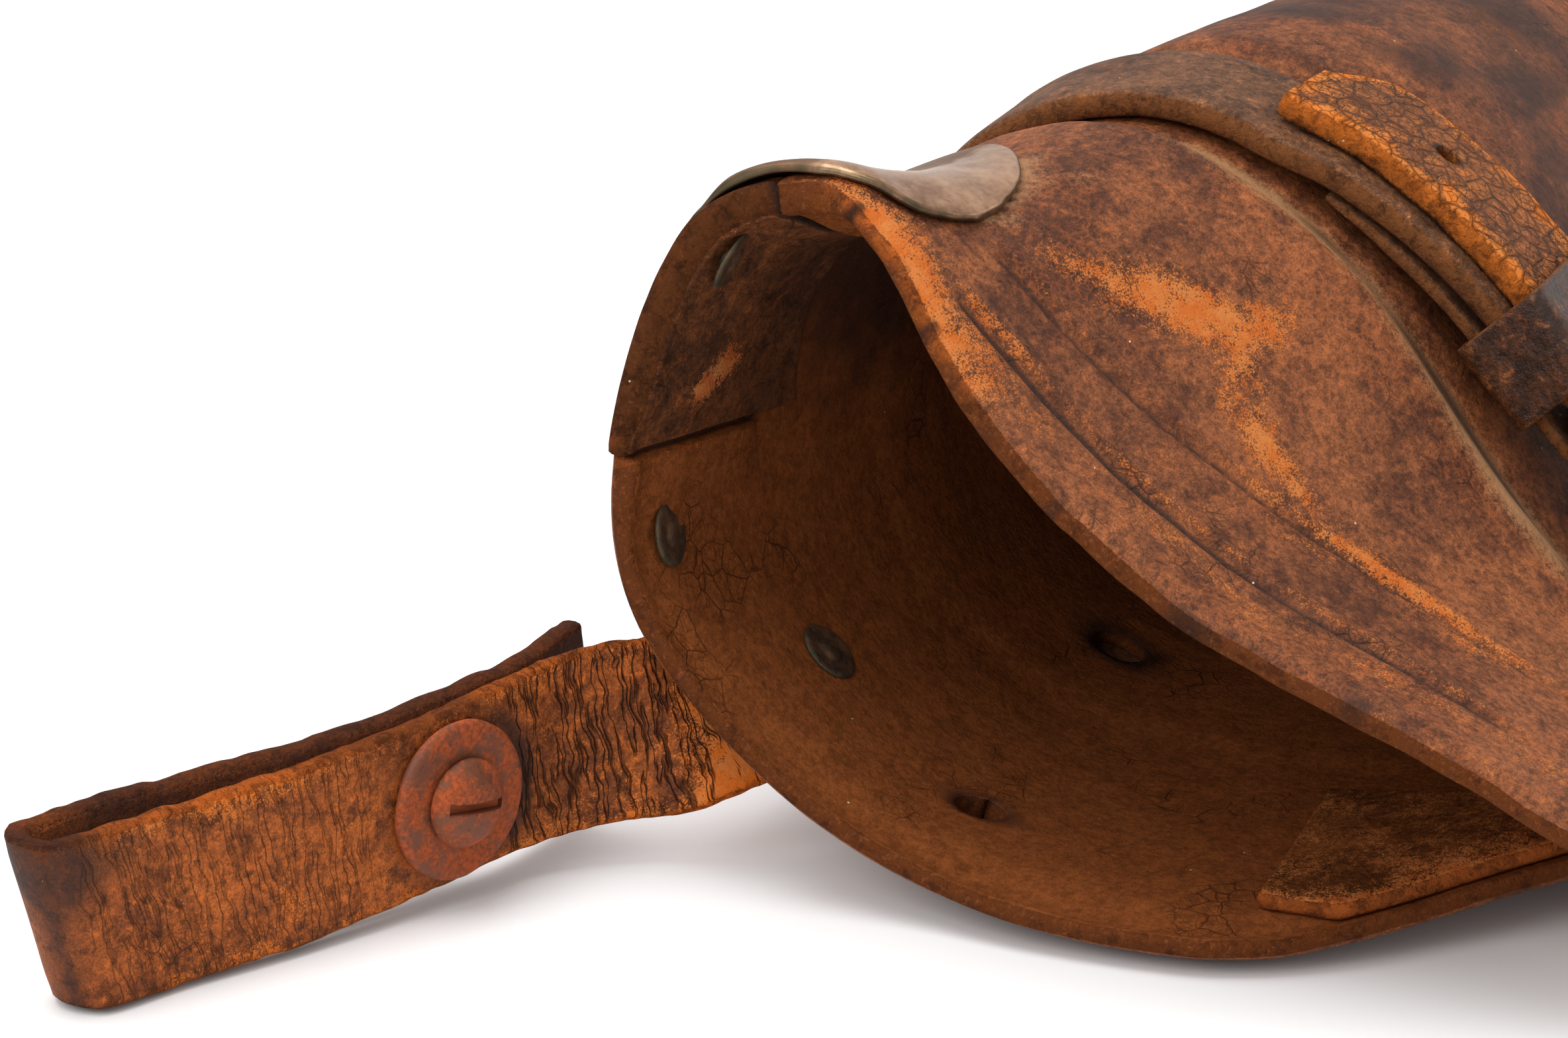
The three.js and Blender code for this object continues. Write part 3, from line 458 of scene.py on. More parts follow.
def tube(name, path, radius, sides, body, material, ring=False, up=(1, 0, 0), rough=0.0, seed=0):
    """A round bar along path, whose radius may change along it."""
    path = np.array(path, float)
    if ring:
        along = np.roll(path, -1, axis=0) - np.roll(path, 1, axis=0)
    else:
        along = np.gradient(path, axis=0)
    along = unit(along)
    side = unit(np.cross(np.array(up, float), along))
    spoke = circle(side, np.cross(along, side), sides)
    radius = np.broadcast_to(np.asarray(radius, float), len(path))
    grid = path[:, None] + spoke * radius[:, None, None]
    grid = grid + spoke * (noise(grid, 2.2, seed, 2) * rough)[..., None]
    points = grid.reshape(-1, 3)
    if ring:
        faces = woven(len(path), sides, True, True)
    else:
        points = np.concatenate([points, path[[0, -1]]])
        faces = capped(len(path), sides)
    return make_object(name, points, facing_out(points, faces), body, material, {"rest": points})


def spline(points, parts=8):
    """A finer row of values on the smooth curve through points."""
    points = np.asarray(points, float)
    t = np.linspace(0, len(points) - 1, (len(points) - 1) * parts + 1)
    columns = [curve(np.tile(column, (len(t), 1)), t)[0] for column in points.T]
    return np.stack(columns, axis=-1)


class Ribbon:
    """A strip along a line: middle points, the way its width runs, thickness and side shift."""

    def __init__(self, points, wide, thick, flip=False):
        table = np.column_stack([points, wide, thick])
        fine = spline(table)
        step = np.linalg.norm(np.diff(fine[:, :3], axis=0), axis=1)
        self.s = np.concatenate([[0], np.cumsum(step)])
        self.length = self.s[-1]
        self.middle = fine[:, :3]
        self.thick = fine[:, 6]
        along = unit(np.gradient(self.middle, self.s, axis=0))
        wide = fine[:, 3:6]
        self.wide = unit(wide - along * (wide * along).sum(axis=1, keepdims=True))
        self.normal = unit(np.cross(self.wide, along)) * (-1 if flip else 1)

    def _pick(self, values, s):
        return np.stack([np.interp(s, self.s, column) for column in values.T], axis=-1)

    def at(self, s, w, h):
        """Point at length s, w across and h off the middle."""
        middle = self._pick(self.middle, s)
        wide = unit(self._pick(self.wide, s))
        normal = unit(self._pick(self.normal, s))
        return middle + wide * w[..., None] + normal * h[..., None]

    def nearest(self, point, first=0):
        """Length where the line is nearest to a point, by its coordinates from first on."""
        return float(self.s[np.argmin(np.linalg.norm(self.middle[:, first:] - point, axis=1))])

    def half_thick(self, s):
        return np.interp(s, self.s, self.thick) / 2


# ---------- Node graphs ----------
class Graph:
    """A material's node graph. Sizes are in millimetres of the piece at rest."""

    def __init__(self, name):
        self.material = bpy.data.materials.new(name)
        self.material.use_nodes = True
        self.tree = self.material.node_tree
        self.tree.nodes.clear()
        self.rest = self.node("ShaderNodeAttribute", attribute_name="rest").outputs["Vector"]

    def node(self, kind, inputs=None, **settings):
        made = self.tree.nodes.new(kind)
        for key, value in settings.items():
            setattr(made, key, value)
        for key, value in (inputs or {}).items():
            if isinstance(value, bpy.types.NodeSocket):
                self.tree.links.new(value, made.inputs[key])
            else:
                made.inputs[key].default_value = value
        return made

    def mask(self, name):
        return self.node("ShaderNodeAttribute", attribute_name=name).outputs["Fac"]

    def scaled(self, vector, sizes):
        scale = [1 / size for size in sizes]
        return self.node("ShaderNodeVectorMath", {0: vector, 1: scale}, operation="MULTIPLY").outputs[0]

    def moved(self, vector, size, amount):
        """vector pushed about by noise, so that a pattern on it wanders."""
        push = self.node("ShaderNodeTexNoise", {"Vector": vector, "Scale": 1 / size, "Detail": 2.0})
        centred = self.node("ShaderNodeVectorMath", {0: push.outputs["Color"], 1: (0.5, 0.5, 0.5)},
                            operation="SUBTRACT")
        grown = self.node("ShaderNodeVectorMath", {0: centred.outputs[0], 1: (amount,) * 3},
                          operation="MULTIPLY")
        made = self.node("ShaderNodeVectorMath", {0: vector, 1: grown.outputs[0]}, operation="ADD")
        return made.outputs[0]

    def noise(self, size, detail=4.0, roughness=0.6, vector=None, distortion=0.0):
        inputs = {"Vector": vector or self.rest, "Scale": 1 / size, "Detail": detail,
                  "Roughness": roughness, "Distortion": distortion}
        return self.node("ShaderNodeTexNoise", inputs).outputs[0]

    def cells(self, size, feature="F1", vector=None):
        inputs = {"Vector": vector or self.rest, "Scale": 1 / size}
        return self.node("ShaderNodeTexVoronoi", inputs, feature=feature).outputs["Distance"]

    def math(self, operation, a, b=0.5, clamp=False):
        made = self.node("ShaderNodeMath", {0: a, 1: b}, operation=operation, use_clamp=clamp)
        return made.outputs[0]

    def range(self, value, low, high, to_low=0.0, to_high=1.0):
        inputs = {"Value": value, "From Min": low, "From Max": high, "To Min": to_low, "To Max": to_high}
        return self.node("ShaderNodeMapRange", inputs, interpolation_type="SMOOTHSTEP").outputs[0]

    def mix(self, factor, a, b, blend="MIX"):
        a, b = ((*c, 1.0) if isinstance(c, tuple) else c for c in (a, b))
        made = self.node("ShaderNodeMix", {0: factor, 6: a, 7: b}, data_type="RGBA", blend_type=blend)
        return made.outputs[2]

    def add(self, *values):
        total = values[0]
        for value in values[1:]:
            total = self.math("ADD", total, value)
        return total

    def times(self, a, b):
        return self.math("MULTIPLY", a, b)

    def weighed(self, *parts):
        """The sum of (value, weight) pairs."""
        return self.add(*(self.times(value, weight) for value, weight in parts))

    def inverse(self, value):
        return self.math("SUBTRACT", 1.0, value)

    def line(self, distance, width):
        """1 on a line, fading to 0 at width from it."""
        return self.math("SUBTRACT", 1.0, self.math("DIVIDE", distance, width, True), True)

    def finish(self, colour, roughness, height, sheen=None, **fixed):
        """The surface. height is in millimetres, and fixed values go straight on the shader."""
        bump = self.node("ShaderNodeBump", {"Height": height, "Distance": MM, "Strength": 1.0})
        inputs = {"Base Color": colour, "Roughness": roughness, "Normal": bump.outputs["Normal"]}
        if sheen is not None:
            inputs["Specular IOR Level"] = sheen
        shader = self.node("ShaderNodeBsdfPrincipled", inputs)
        for key, value in fixed.items():
            shader.inputs[key.replace("_", " ")].default_value = value
        self.node("ShaderNodeOutputMaterial", {"Surface": shader.outputs["BSDF"]})
        return self.material


def rgb(red, green, blue):
    """A colour given as 0 to 255 screen values."""
    def linear(c):
        c = c / 255
        return c / 12.92 if c <= 0.04045 else ((c + 0.055) / 1.055) ** 2.4
    return tuple(linear(c) for c in (red, green, blue))


def darker(colour, share):
    return tuple(share * c for c in colour)


# ---------- Leather ----------
# Soot, also used for the painted shade that the dark mask carries.
SOOT_AND_SHADE = rgb(36, 26, 24)
DUST = rgb(164, 122, 84)
SPECK = rgb(206, 182, 150)
TAN = rgb(194, 130, 74)


PEBBLE = 0.05
SPECK_SHARE = 0.022  # of the distance between specks


class Leather(Graph):
    """Old vegetable-tanned leather, with the noises that its parts share."""

    def __init__(self, name, dark, mid, worn, cut_tone):
        super().__init__(name)
        self.dark, self.mid, self.worn, self.cut_tone = dark, mid, worn, cut_tone
        self.patchy = self.noise(6, 5.0, 0.65)
        self.fine = self.noise(1.1, 5.0, 0.7)
        self.tiny = self.noise(0.28, 2.0, 0.6)
        self.mottle = self.noise(2.6, 6.0, 0.75, distortion=0.6)
        aside = self.node("ShaderNodeVectorMath", {0: self.rest, 1: (31.0, 7.0, 19.0)}, operation="ADD")
        self.blotch = self.noise(3.4, 6.0, 0.78, aside.outputs[0])
        self.fibre = self.range(self.noise(0.8, 4.0, 0.75), 0.3, 0.7)
        self.wander = self.moved(self.rest, 3.0, 1.6)

    def ground(self, flecks, blotches):
        """The mottled grain side."""
        large = self.noise(26, 3.0, 0.55)
        spread = self.weighed((large, 0.35), (self.patchy, 0.3), (self.mottle, 0.35))
        base = self.mix(self.range(spread, 0.4, 0.6), self.dark, self.mid)
        base = self.mix(self.range(self.blotch, 0.5, 0.64, 0.0, blotches), base, darker(self.dark, 0.5))
        base = self.mix(self.range(self.mottle, 0.55, 0.72, 0.0, flecks), base, self.worn)
        shade = self.range(self.weighed((self.fine, 0.6), (self.tiny, 0.4)), 0.34, 0.66, 0.5, 1.5)
        grey = self.node("ShaderNodeCombineColor", {0: shade, 1: shade, 2: shade}).outputs[0]
        return self.mix(1.0, base, grey, "MULTIPLY")

    def craquelure(self, size, where, sharp):
        """Drying cracks and hair cracks between them, in places only."""
        lines = self.cells(size, "DISTANCE_TO_EDGE", self.wander)
        hairs = self.cells(size * 0.42, "DISTANCE_TO_EDGE", self.wander)
        places = self.range(self.noise(17, 2.0), where, where + 0.16)
        width = self.range(self.fine, 0.3, 0.7, sharp * 0.4, sharp)
        coarse = self.times(self.line(lines, width), places)
        return self.math("MAXIMUM", coarse, self.times(self.line(hairs, width), self.times(places, 0.6)))

    def folds(self):
        """Wrinkles across a bent strap."""
        flow = self.node("ShaderNodeAttribute", attribute_name="flow").outputs["Vector"]
        across = self.noise(1.0, 2.0, 0.5, self.scaled(self.moved(flow, 5.0, 3.0), (1.5, 15, 40)))
        off = self.math("ABSOLUTE", self.math("SUBTRACT", across, 0.5))
        return self.times(self.line(off, 0.045), self.mask("wrinkled"))

    def scuffed(self, base, net):
        """base rubbed through to raw leather, and the mask of where it is raw."""
        rubbing = self.weighed((self.patchy, 0.45), (self.fine, 0.45), (self.tiny, 0.6),
                               (self.mask("wear"), 0.36))
        raw = self.range(rubbing, 0.93, 1.05)
        tones = self.range(self.weighed((self.noise(3.5, 4.0), 0.6), (self.tiny, 0.4)), 0.42, 0.6)
        colour = self.mix(self.times(raw, 0.88), base, self.mix(self.times(tones, 0.5), self.worn, TAN))
        if net:
            lines = self.line(self.cells(1.4, "DISTANCE_TO_EDGE", self.wander), 0.13)
            places = self.range(self.weighed((self.noise(19, 3.0), 0.8), (self.fine, 0.2)), 0.5, 0.58)
            colour = self.mix(self.times(self.times(lines, places), net), colour, self.worn)
        return colour, raw

    def cut_face(self):
        """The fibres of a cut edge."""
        rubbing = self.weighed((self.mask("wear"), 0.55), (self.patchy, 0.7), (self.fibre, 0.15))
        colour = self.mix(self.range(rubbing, 0.55, 1.0), self.cut_tone, self.worn)
        colour = self.mix(self.times(self.fibre, 0.45), colour, darker(self.cut_tone, 0.5))
        colour = self.mix(self.range(self.mottle, 0.47, 0.6, 0.0, 0.6), colour, self.dark)
        return self.mix(self.range(self.blotch, 0.5, 0.62, 0.0, 0.65), colour, darker(self.dark, 0.45))

    def flesh_side(self, flesh, raw):
        """The napped side that faces inwards."""
        tone = self.weighed((self.mottle, 0.4), (self.fine, 0.4), (self.tiny, 0.2))
        nap = self.mix(self.range(tone, 0.4, 0.6), darker(flesh, 0.55), flesh)
        nap = self.mix(self.range(self.blotch, 0.52, 0.66, 0.0, 0.5), nap, darker(flesh, 0.35))
        return self.mix(self.times(raw, 0.5), nap, self.worn)

    def soiled_and_shaded(self, colour):
        """colour under dust, and over that soot and painted shade."""
        dusty = self.weighed((self.mask("dust"), 0.6), (self.patchy, 0.4), (self.fine, 0.4),
                             (self.tiny, 0.3))
        colour = self.mix(self.times(self.range(dusty, 0.74, 1.12), 0.8), colour, DUST)
        # The dark mask: soot, and painted shade inside the mouth and round the washer.
        sooty_and_shaded = self.weighed((self.mask("dark"), 0.75), (self.patchy, 0.35), (self.fine, 0.25))
        return self.mix(self.times(self.range(sooty_and_shaded, 0.6, 0.95), 0.82), colour, SOOT_AND_SHADE)


def leather(name, dark, mid, worn, cut_tone, flesh=None, crack=0.12, crack_size=5.0, crack_where=0.5,
            net=0.0, wrinkle=0.0, sharp=0.06, gloss=0.6, dull=0.8, specular=0.16, flecks=0.35,
            blotches=0.7):
    """A leather. crack and wrinkle are depths in millimetres, and net, flecks and blotches strengths."""
    g = Leather(name, dark, mid, worn, cut_tone)
    colour, raw = g.scuffed(g.ground(flecks, blotches), net)
    cracks = g.craquelure(crack_size, crack_where, sharp)
    if wrinkle:
        folds = g.folds()
        cracks = g.math("MAXIMUM", cracks, folds)
    cut = g.range(g.add(g.mask("edge"), g.times(g.fibre, 0.3)), 0.8, 1.15)
    cracks = g.times(cracks, g.range(cut, 0, 1, 1.0, 0.15))  # a cut edge frays instead
    colour = g.mix(cut, colour, g.cut_face())
    if flesh:
        inside = g.times(g.mask("flesh"), g.inverse(g.times(cut, 0.7)))
        colour = g.mix(inside, colour, g.flesh_side(flesh, raw))
    colour = g.mix(g.times(cracks, 0.8), g.soiled_and_shaded(colour), darker(dark, 0.28))
    specks = g.math("LESS_THAN", g.cells(8.0), SPECK_SHARE)
    colour = g.mix(g.times(specks, 0.8), colour, SPECK)

    rubbed = g.math("MAXIMUM", raw, cut)
    matt = rubbed
    roughness = g.range(g.weighed((rubbed, 0.6), (g.fine, 0.4)), 0.1, 0.8, gloss, dull)
    if flesh:
        matt = g.math("MAXIMUM", rubbed, g.mask("flesh"))
        roughness = g.math("MAXIMUM", roughness, g.times(g.mask("flesh"), 0.9))
    pebbles = g.times(g.cells(0.75), g.inverse(g.times(rubbed, 0.7)))
    height = g.weighed((pebbles, PEBBLE), (g.patchy, 0.5), (g.fine, 0.2), (g.tiny, 0.07),
                       (rubbed, -0.05), (g.times(g.fibre, cut), 0.22), (cracks, -crack))
    if wrinkle:
        height = g.add(height, g.times(folds, -wrinkle))
    return g.finish(colour, roughness, height, g.range(matt, 0, 1, specular, 0.05))


def brass_metal(name):
    g = Graph(name)
    cloud = g.noise(14, 4.0, 0.6)
    fine = g.noise(1.5, 5.0, 0.7)
    scratched = g.noise(0.5, 3.0, 0.6, g.scaled(g.rest, (9, 1.2, 1.2)))
    colour = g.mix(g.range(g.weighed((cloud, 0.7), (fine, 0.3)), 0.36, 0.64),
                   rgb(138, 98, 72), rgb(200, 158, 126))
    # Grime, and through the dark mask painted shade and a painted reflection of the dark leather.
    grime_and_shade = g.range(g.weighed((g.noise(5, 5.0, 0.7), 0.8), (g.mask("dark"), 0.4)), 0.44, 0.75)
    colour = g.mix(g.times(grime_and_shade, 0.75), colour, rgb(84, 58, 40))
    green = g.range(g.weighed((g.mask("edge"), 0.7), (g.noise(3.0, 4.0), 0.8)), 0.85, 1.15)
    colour = g.mix(g.times(green, 0.75), colour, rgb(52, 54, 36))
    roughness = g.range(g.weighed((fine, 0.4), (grime_and_shade, 0.5)), 0.1, 0.7, 0.26, 0.5)
    height = g.weighed((fine, 0.03), (scratched, 0.015), (cloud, 0.3))
    return g.finish(colour, roughness, height, Metallic=0.85)


def copper_metal(name):
    g = Graph(name)
    fine = g.noise(0.9, 5.0, 0.7)
    ring = g.range(g.weighed((g.mask("edge"), 0.8), (fine, 0.7)), 0.95, 1.25)
    colour = g.mix(g.range(g.noise(2.5, 4.0), 0.4, 0.6), rgb(56, 38, 24), rgb(84, 56, 34))
    colour = g.mix(g.times(ring, 0.45), colour, rgb(44, 60, 38))
    height = g.weighed((fine, 0.16), (g.noise(2.4, 3.0), 0.3))
    return g.finish(colour, g.range(fine, 0.3, 0.7, 0.5, 0.78), height, Metallic=0.25)


def rusty_metal(name, base, rust, metallic, rusted, gloss):
    g = Graph(name)
    fine = g.noise(0.7, 5.0, 0.75)
    patch = g.noise(4, 5.0, 0.65)
    cover = g.range(g.weighed((patch, 0.7), (fine, 0.3)), rusted, rusted + 0.14)
    tone = g.mix(g.range(fine, 0.35, 0.65), darker(rust, 0.5), rust)
    colour = g.mix(cover, base, tone)
    pits = g.range(g.cells(1.1), 0.0, 0.35, 1.0, 0.0)
    colour = g.mix(g.times(pits, 0.35), colour, rgb(34, 24, 22))
    roughness = g.range(cover, 0, 1, gloss, 0.85)
    height = g.weighed((fine, 0.12), (patch, 0.2), (pits, -0.05))
    return g.finish(colour, roughness, height, Metallic=metallic)


def thread_fibre(name):
    g = Graph(name)
    twist = g.noise(0.35, 3.0, 0.6, g.scaled(g.rest, (1.6, 0.6, 0.6)))
    colour = g.mix(g.range(twist, 0.35, 0.65), rgb(74, 56, 38), rgb(132, 108, 76))
    colour = g.mix(g.range(g.noise(9, 3.0), 0.45, 0.6), colour, rgb(52, 38, 28))
    return g.finish(colour, g.range(twist, 0.3, 0.7, 0.6, 0.85), g.times(twist, 0.2))


BODY = leather("body_leather", rgb(76, 41, 25), rgb(132, 76, 43), rgb(180, 92, 36), rgb(100, 52, 22),
               flesh=rgb(132, 73, 36), crack=0.12, crack_size=4.2, crack_where=0.54, net=0.22, flecks=0.2,
               blotches=0.5)
EDGE = leather("edge_leather", rgb(78, 44, 28), rgb(126, 74, 42), rgb(180, 102, 52), rgb(124, 72, 42))
LINING = leather("lining_leather", rgb(58, 32, 17), rgb(102, 57, 28), rgb(166, 82, 38), rgb(88, 48, 23),
                 crack=0.08, gloss=0.75, dull=0.9)
PATCH = leather("patch_leather", rgb(84, 46, 22), rgb(134, 78, 40), rgb(172, 90, 40), rgb(96, 52, 24),
                crack=0.1, gloss=0.8, dull=0.9, blotches=0.3, specular=0.05)
STRAP = leather("strap_leather", rgb(74, 47, 31), rgb(112, 73, 47), rgb(180, 102, 50), rgb(126, 78, 44),
                crack=0.06, crack_where=0.62)
BILLET = leather("billet_leather", rgb(90, 50, 24), rgb(146, 84, 40), rgb(204, 110, 40), rgb(150, 82, 32),
                 crack=0.35, crack_size=4.2, crack_where=0.1, sharp=0.13, flecks=0.5)
KEEPER = leather("keeper_leather", rgb(44, 25, 16), rgb(88, 50, 27), rgb(176, 106, 58), rgb(130, 80, 46),
                 crack=0.05, crack_where=0.7, gloss=0.26, dull=0.5, specular=0.3)
HANGER = leather("hanger_leather", rgb(90, 45, 19), rgb(158, 82, 32), rgb(204, 102, 34), rgb(116, 60, 28),
                 crack=0.16, crack_size=3.0, crack_where=0.56, wrinkle=0.42, flecks=0.6)
THREAD = thread_fibre("waxed_thread")
BRASS = brass_metal("guard_brass")
COPPER = copper_metal("rivet_copper")
RUST = rusty_metal("rusty_iron", rgb(104, 54, 28), rgb(168, 76, 26), 0.1, 0.42, 0.6)
IRON = rusty_metal("buckle_iron", rgb(74, 62, 58), rgb(96, 58, 42), 0.7, 0.56, 0.38)


# ---------- Body ----------
CRACK_Q = 6.31  # the open crack across the rim, at the upper end of the lining
CRACK_RUN = 21.0
CRACK_GAPE = 0.034  # half its width at the rim, in q
CRACK_LIP = 0.012  # its two columns' place before it opens, each side of CRACK_Q
LINING_END_Q = 8.02
SLIT_STEPS = np.array([-0.02, 0.0, 0.02, 0.03, 0.045, 0.07, 0.1])  # past the lining's lower end
EDGE_R = 1.6  # rounding of the rim, kept inside the CAD outline
HOLES = [(10.1, -63.0, 3.7), (9.95, 5.0, 4.0)]  # q, x and worn radius, by the rim and by the strap
BODY_COLUMNS = 236
BODY_SIDE = 0.03  # from the sheet's two long edges to its first and last column
ROW_STEP = 1.7
COARSE_FROM = 45.0  # the rows are wider apart from here to the toe

# The guard's two edges: q, distance from the mouth's edge.
GUARD_FRONT = np.array([
    (4.97, 17.2), (5.02, 12.7), (5.1, 8.6), (5.28, 5.6), (5.6, 2.4), (5.95, 1.2), (6.6, 1.3),
    (7.1, 2), (7.5, 4), (7.9, 5), (8.6, 5.5), (8.8, 6.5), (8.9, 8.5),
])
GUARD_REAR = np.array([
    (4.97, 18.8), (5.02, 24), (5.1, 27.5), (5.28, 32), (5.6, 36.3), (5.95, 39), (6.6, 38.6),
    (7.1, 35), (7.5, 31), (7.9, 26.5), (8.6, 19), (8.8, 16), (8.9, 12.5),
])

# Places rubbed to raw leather: q, x, reach in q, reach in x, strength.
SCUFFS = [
    (4.6, -56, 0.2, 5, 0.6), (4.32, -50, 0.24, 5.5, 0.95), (4.12, -44, 0.2, 5, 0.85),
    (3.95, -39, 0.15, 4, 0.6), (4.02, -34, 0.12, 4, 0.5), (3.8, -46, 0.2, 4, 0.6),
    (3.6, -52, 0.24, 4, 0.7), (3.28, -53, 0.24, 3.5, 0.7), (3.1, -60, 0.26, 3.5, 0.5),
    (2.7, -54, 0.3, 4, 0.65), (2.2, -57, 0.3, 5, 0.7), (3.3, -78, 0.5, 5, 0.35),
    (4.55, -81, 0.55, 6, 0.45), (5.2, -77, 0.4, 6, 0.5), (5.75, -76, 0.3, 6, 0.45),
    (2.4, -80, 0.6, 4, 0.3), (1.7, -78, 0.5, 5, 0.3), (3.7, -68, 0.5, 2.5, 0.3),
    (5.6, 52, 0.5, 9, 0.4), (4.4, 80, 0.5, 14, 0.5), (5.2, 40, 0.3, 8, 0.4), (3.6, 60, 0.4, 12, 0.3),
    (6.4, 120, 0.8, 24, 0.6), (5.0, 190, 0.7, 30, 0.6), (7.2, 230, 0.6, 30, 0.5),
    (5.8, 350, 0.7, 26, 0.7), (8.6, 60, 0.6, 24, 0.5), (9.2, 200, 0.5, 40, 0.5),
    (11, -70, 0.5, 8, 0.4),
]
SOOTS = [
    (4.12, -89, 0.1, 1.6, 0.6), (3.3, -90, 0.12, 1.5, 0.55), (2.3, -90, 0.16, 1.6, 0.5),
    (3.5, -17, 0.5, 3.5, 0.85), (4.3, -15.5, 0.35, 2.5, 0.7), (2.9, -18, 0.4, 4, 0.6),
    (3.8, -28, 0.6, 7, 0.25), (1.2, -50, 0.5, 20, 0.4),
]
DUSTS = [
    (4.9, -55, 0.07, 5, 0.6), (5.05, -38, 0.12, 5, 0.4), (4.5, -17, 0.7, 3.5, 0.5),
    (3.2, -19.5, 0.8, 4, 0.75), (2.5, -22, 0.6, 6, 0.5), (4.9, -20, 0.5, 4, 0.5),
    (3.6, 18, 1.2, 4, 0.4),
]
CREASES = [
    np.array([(1.5, -53), (2.2, -55), (2.9, -56.5), (3.7, -62.5), (4.3, -64.2), (4.85, -63.5)]),
    np.array([(1.5, -76), (2.2, -75.2), (3.0, -74.2), (3.6, -75.6), (4.2, -75.2), (4.7, -76)]),
]
LIP_SOOTS = [
    (5.4, -75, 0.12, 2.5, 1.0), (4.95, -79, 0.2, 1.6, 0.8), (4.55, -83, 0.07, 2.5, 0.9),
    (4.1, -87, 0.22, 1.4, 0.75), (3.65, -89, 0.06, 2.5, 0.8), (3.0, -91, 0.26, 1.4, 0.75),
    (2.3, -91, 0.1, 1.8, 0.6), (8.8, -80, 0.8, 5, 0.3), (11.5, -82, 0.6, 4, 0.6),
]


def blots(q, x, spots):
    return sum(s * bump_at(q, q0, rq) * bump_at(x, x0, rx) for q0, x0, rq, rx, s in spots)


def creases(q, x, *lines):
    """The panel's two pressed creases. Each line is (strength, shift along X, width)."""
    total = 0.0
    for points, (strength, shift, width) in zip(CREASES, lines):
        ends = band(q, points[0, 0], points[0, 0] + 0.5, points[-1, 0] - 0.15, points[-1, 0])
        middle = np.interp(q, points[:, 0], points[:, 1] + shift)
        total = total + strength * bump_at(x, middle, width) * ends
    return total


def body_relief(q, x, at):
    """How far the outer face stands off its smooth form."""
    soft = noise(at, 34, 3, 2) * 0.7 + noise(at, 9, 5, 2) * 0.22
    folds = creases(q, x, (-0.9, 0, 0.9), (-1.1, 0, 1.0))
    shoulders = creases(q, x, (0.35, 2.2, 1.4), (0.45, 2.4, 1.5))
    from_rim = x - rim_at(q)
    bead = 0.45 * bump_at(from_rim, 4.5, 3.2) - 0.9 * np.exp(-np.maximum(from_rim - EDGE_R, 0) / 1.2)
    return soft * 0.8 + folds + shoulders + bead


def body_columns():
    """The grid's values of q, evenly spaced round the mouth, with more at the crack and the slit."""
    trial = np.linspace(0, LAST, 2600)
    run = np.linalg.norm(np.diff(on_body(trial, np.full_like(trial, -60.0)), axis=0), axis=1)
    run = np.concatenate([[0], np.cumsum(run)])
    q = np.interp(np.linspace(0, run[-1], BODY_COLUMNS), run, trial)
    at_crack = CRACK_Q + np.array([-0.1, -CRACK_LIP, CRACK_LIP, 0.1])
    q = np.sort(np.concatenate([q[abs(q - CRACK_Q) > 0.06], at_crack, LINING_END_Q + SLIT_STEPS]))
    q[0] = BODY_SIDE
    q[-1] = LAST - BODY_SIDE
    return q


def open_crack(q, x, keep, split):
    """Parts the two columns at the crack. It wanders, and closes CRACK_RUN from the rim."""
    rim = rim_at(CRACK_Q)
    keep[split] = x[split, :-1] > rim + CRACK_RUN
    along = (x[split] - rim) / CRACK_RUN
    gape = CRACK_GAPE * np.clip(1 - along, 0, 1) ** 0.6
    wander = 0.05 * ripple(along * 9, 3.0, 7, 3.0) * (along < 1) * smooth(0, 0.15, 1 - along)
    q[split] += wander - gape
    q[split + 1] += wander + gape


def body_grid():
    """The grid of (q, x), the squares that are kept, and the column where the crack opens."""
    q_line = body_columns()
    split = int(np.argmin(abs(q_line - (CRACK_Q - CRACK_LIP))))
    lined = smooth(CRACK_Q - 0.005, CRACK_Q + 0.005, q_line)
    lined = lined * (1 - smooth(LINING_END_Q, LINING_END_Q + 0.03, q_line))
    start = rim_at(q_line) + EDGE_R + 2.0 * lined + 0.7 * ripple(q_line * 6, 1.5, 8)
    mouth = lerp(start[:, None], MOUTH_END, np.linspace(0, 1, 84) ** 1.1)
    rest = np.concatenate([np.arange(MOUTH_END + ROW_STEP, COARSE_FROM, ROW_STEP),
                           np.linspace(COARSE_FROM + 0.5, TOE_X - EDGE_R, 56)])
    x = np.hstack([mouth, np.tile(rest, (len(q_line), 1))])
    q = np.repeat(q_line[:, None], x.shape[1], axis=1)
    keep = np.ones((q.shape[0] - 1, q.shape[1] - 1), bool)
    open_crack(q, x, keep, split)
    for hole_q, hole_x, radius in HOLES:
        across = np.linalg.norm(on_body(hole_q + 0.5, hole_x) - on_body(hole_q - 0.5, hole_x))
        q, x, keep = punched(q, x, keep, (hole_q, hole_x), (radius / across * 1.15, radius))
    return q, x, keep & ~slot_mask(q, x), split


def body_swell(q, x, split):
    """How far the cut edges bulge, which is least round the holes and along the crack."""
    swell = np.full(q.shape, 0.36)
    for hole_q, hole_x, _ in HOLES:
        swell[(abs(q - hole_q) < 0.6) & (abs(x - hole_x) < 6)] = 0.06
    swell[split : split + 2, 3:] = 0.03
    return swell


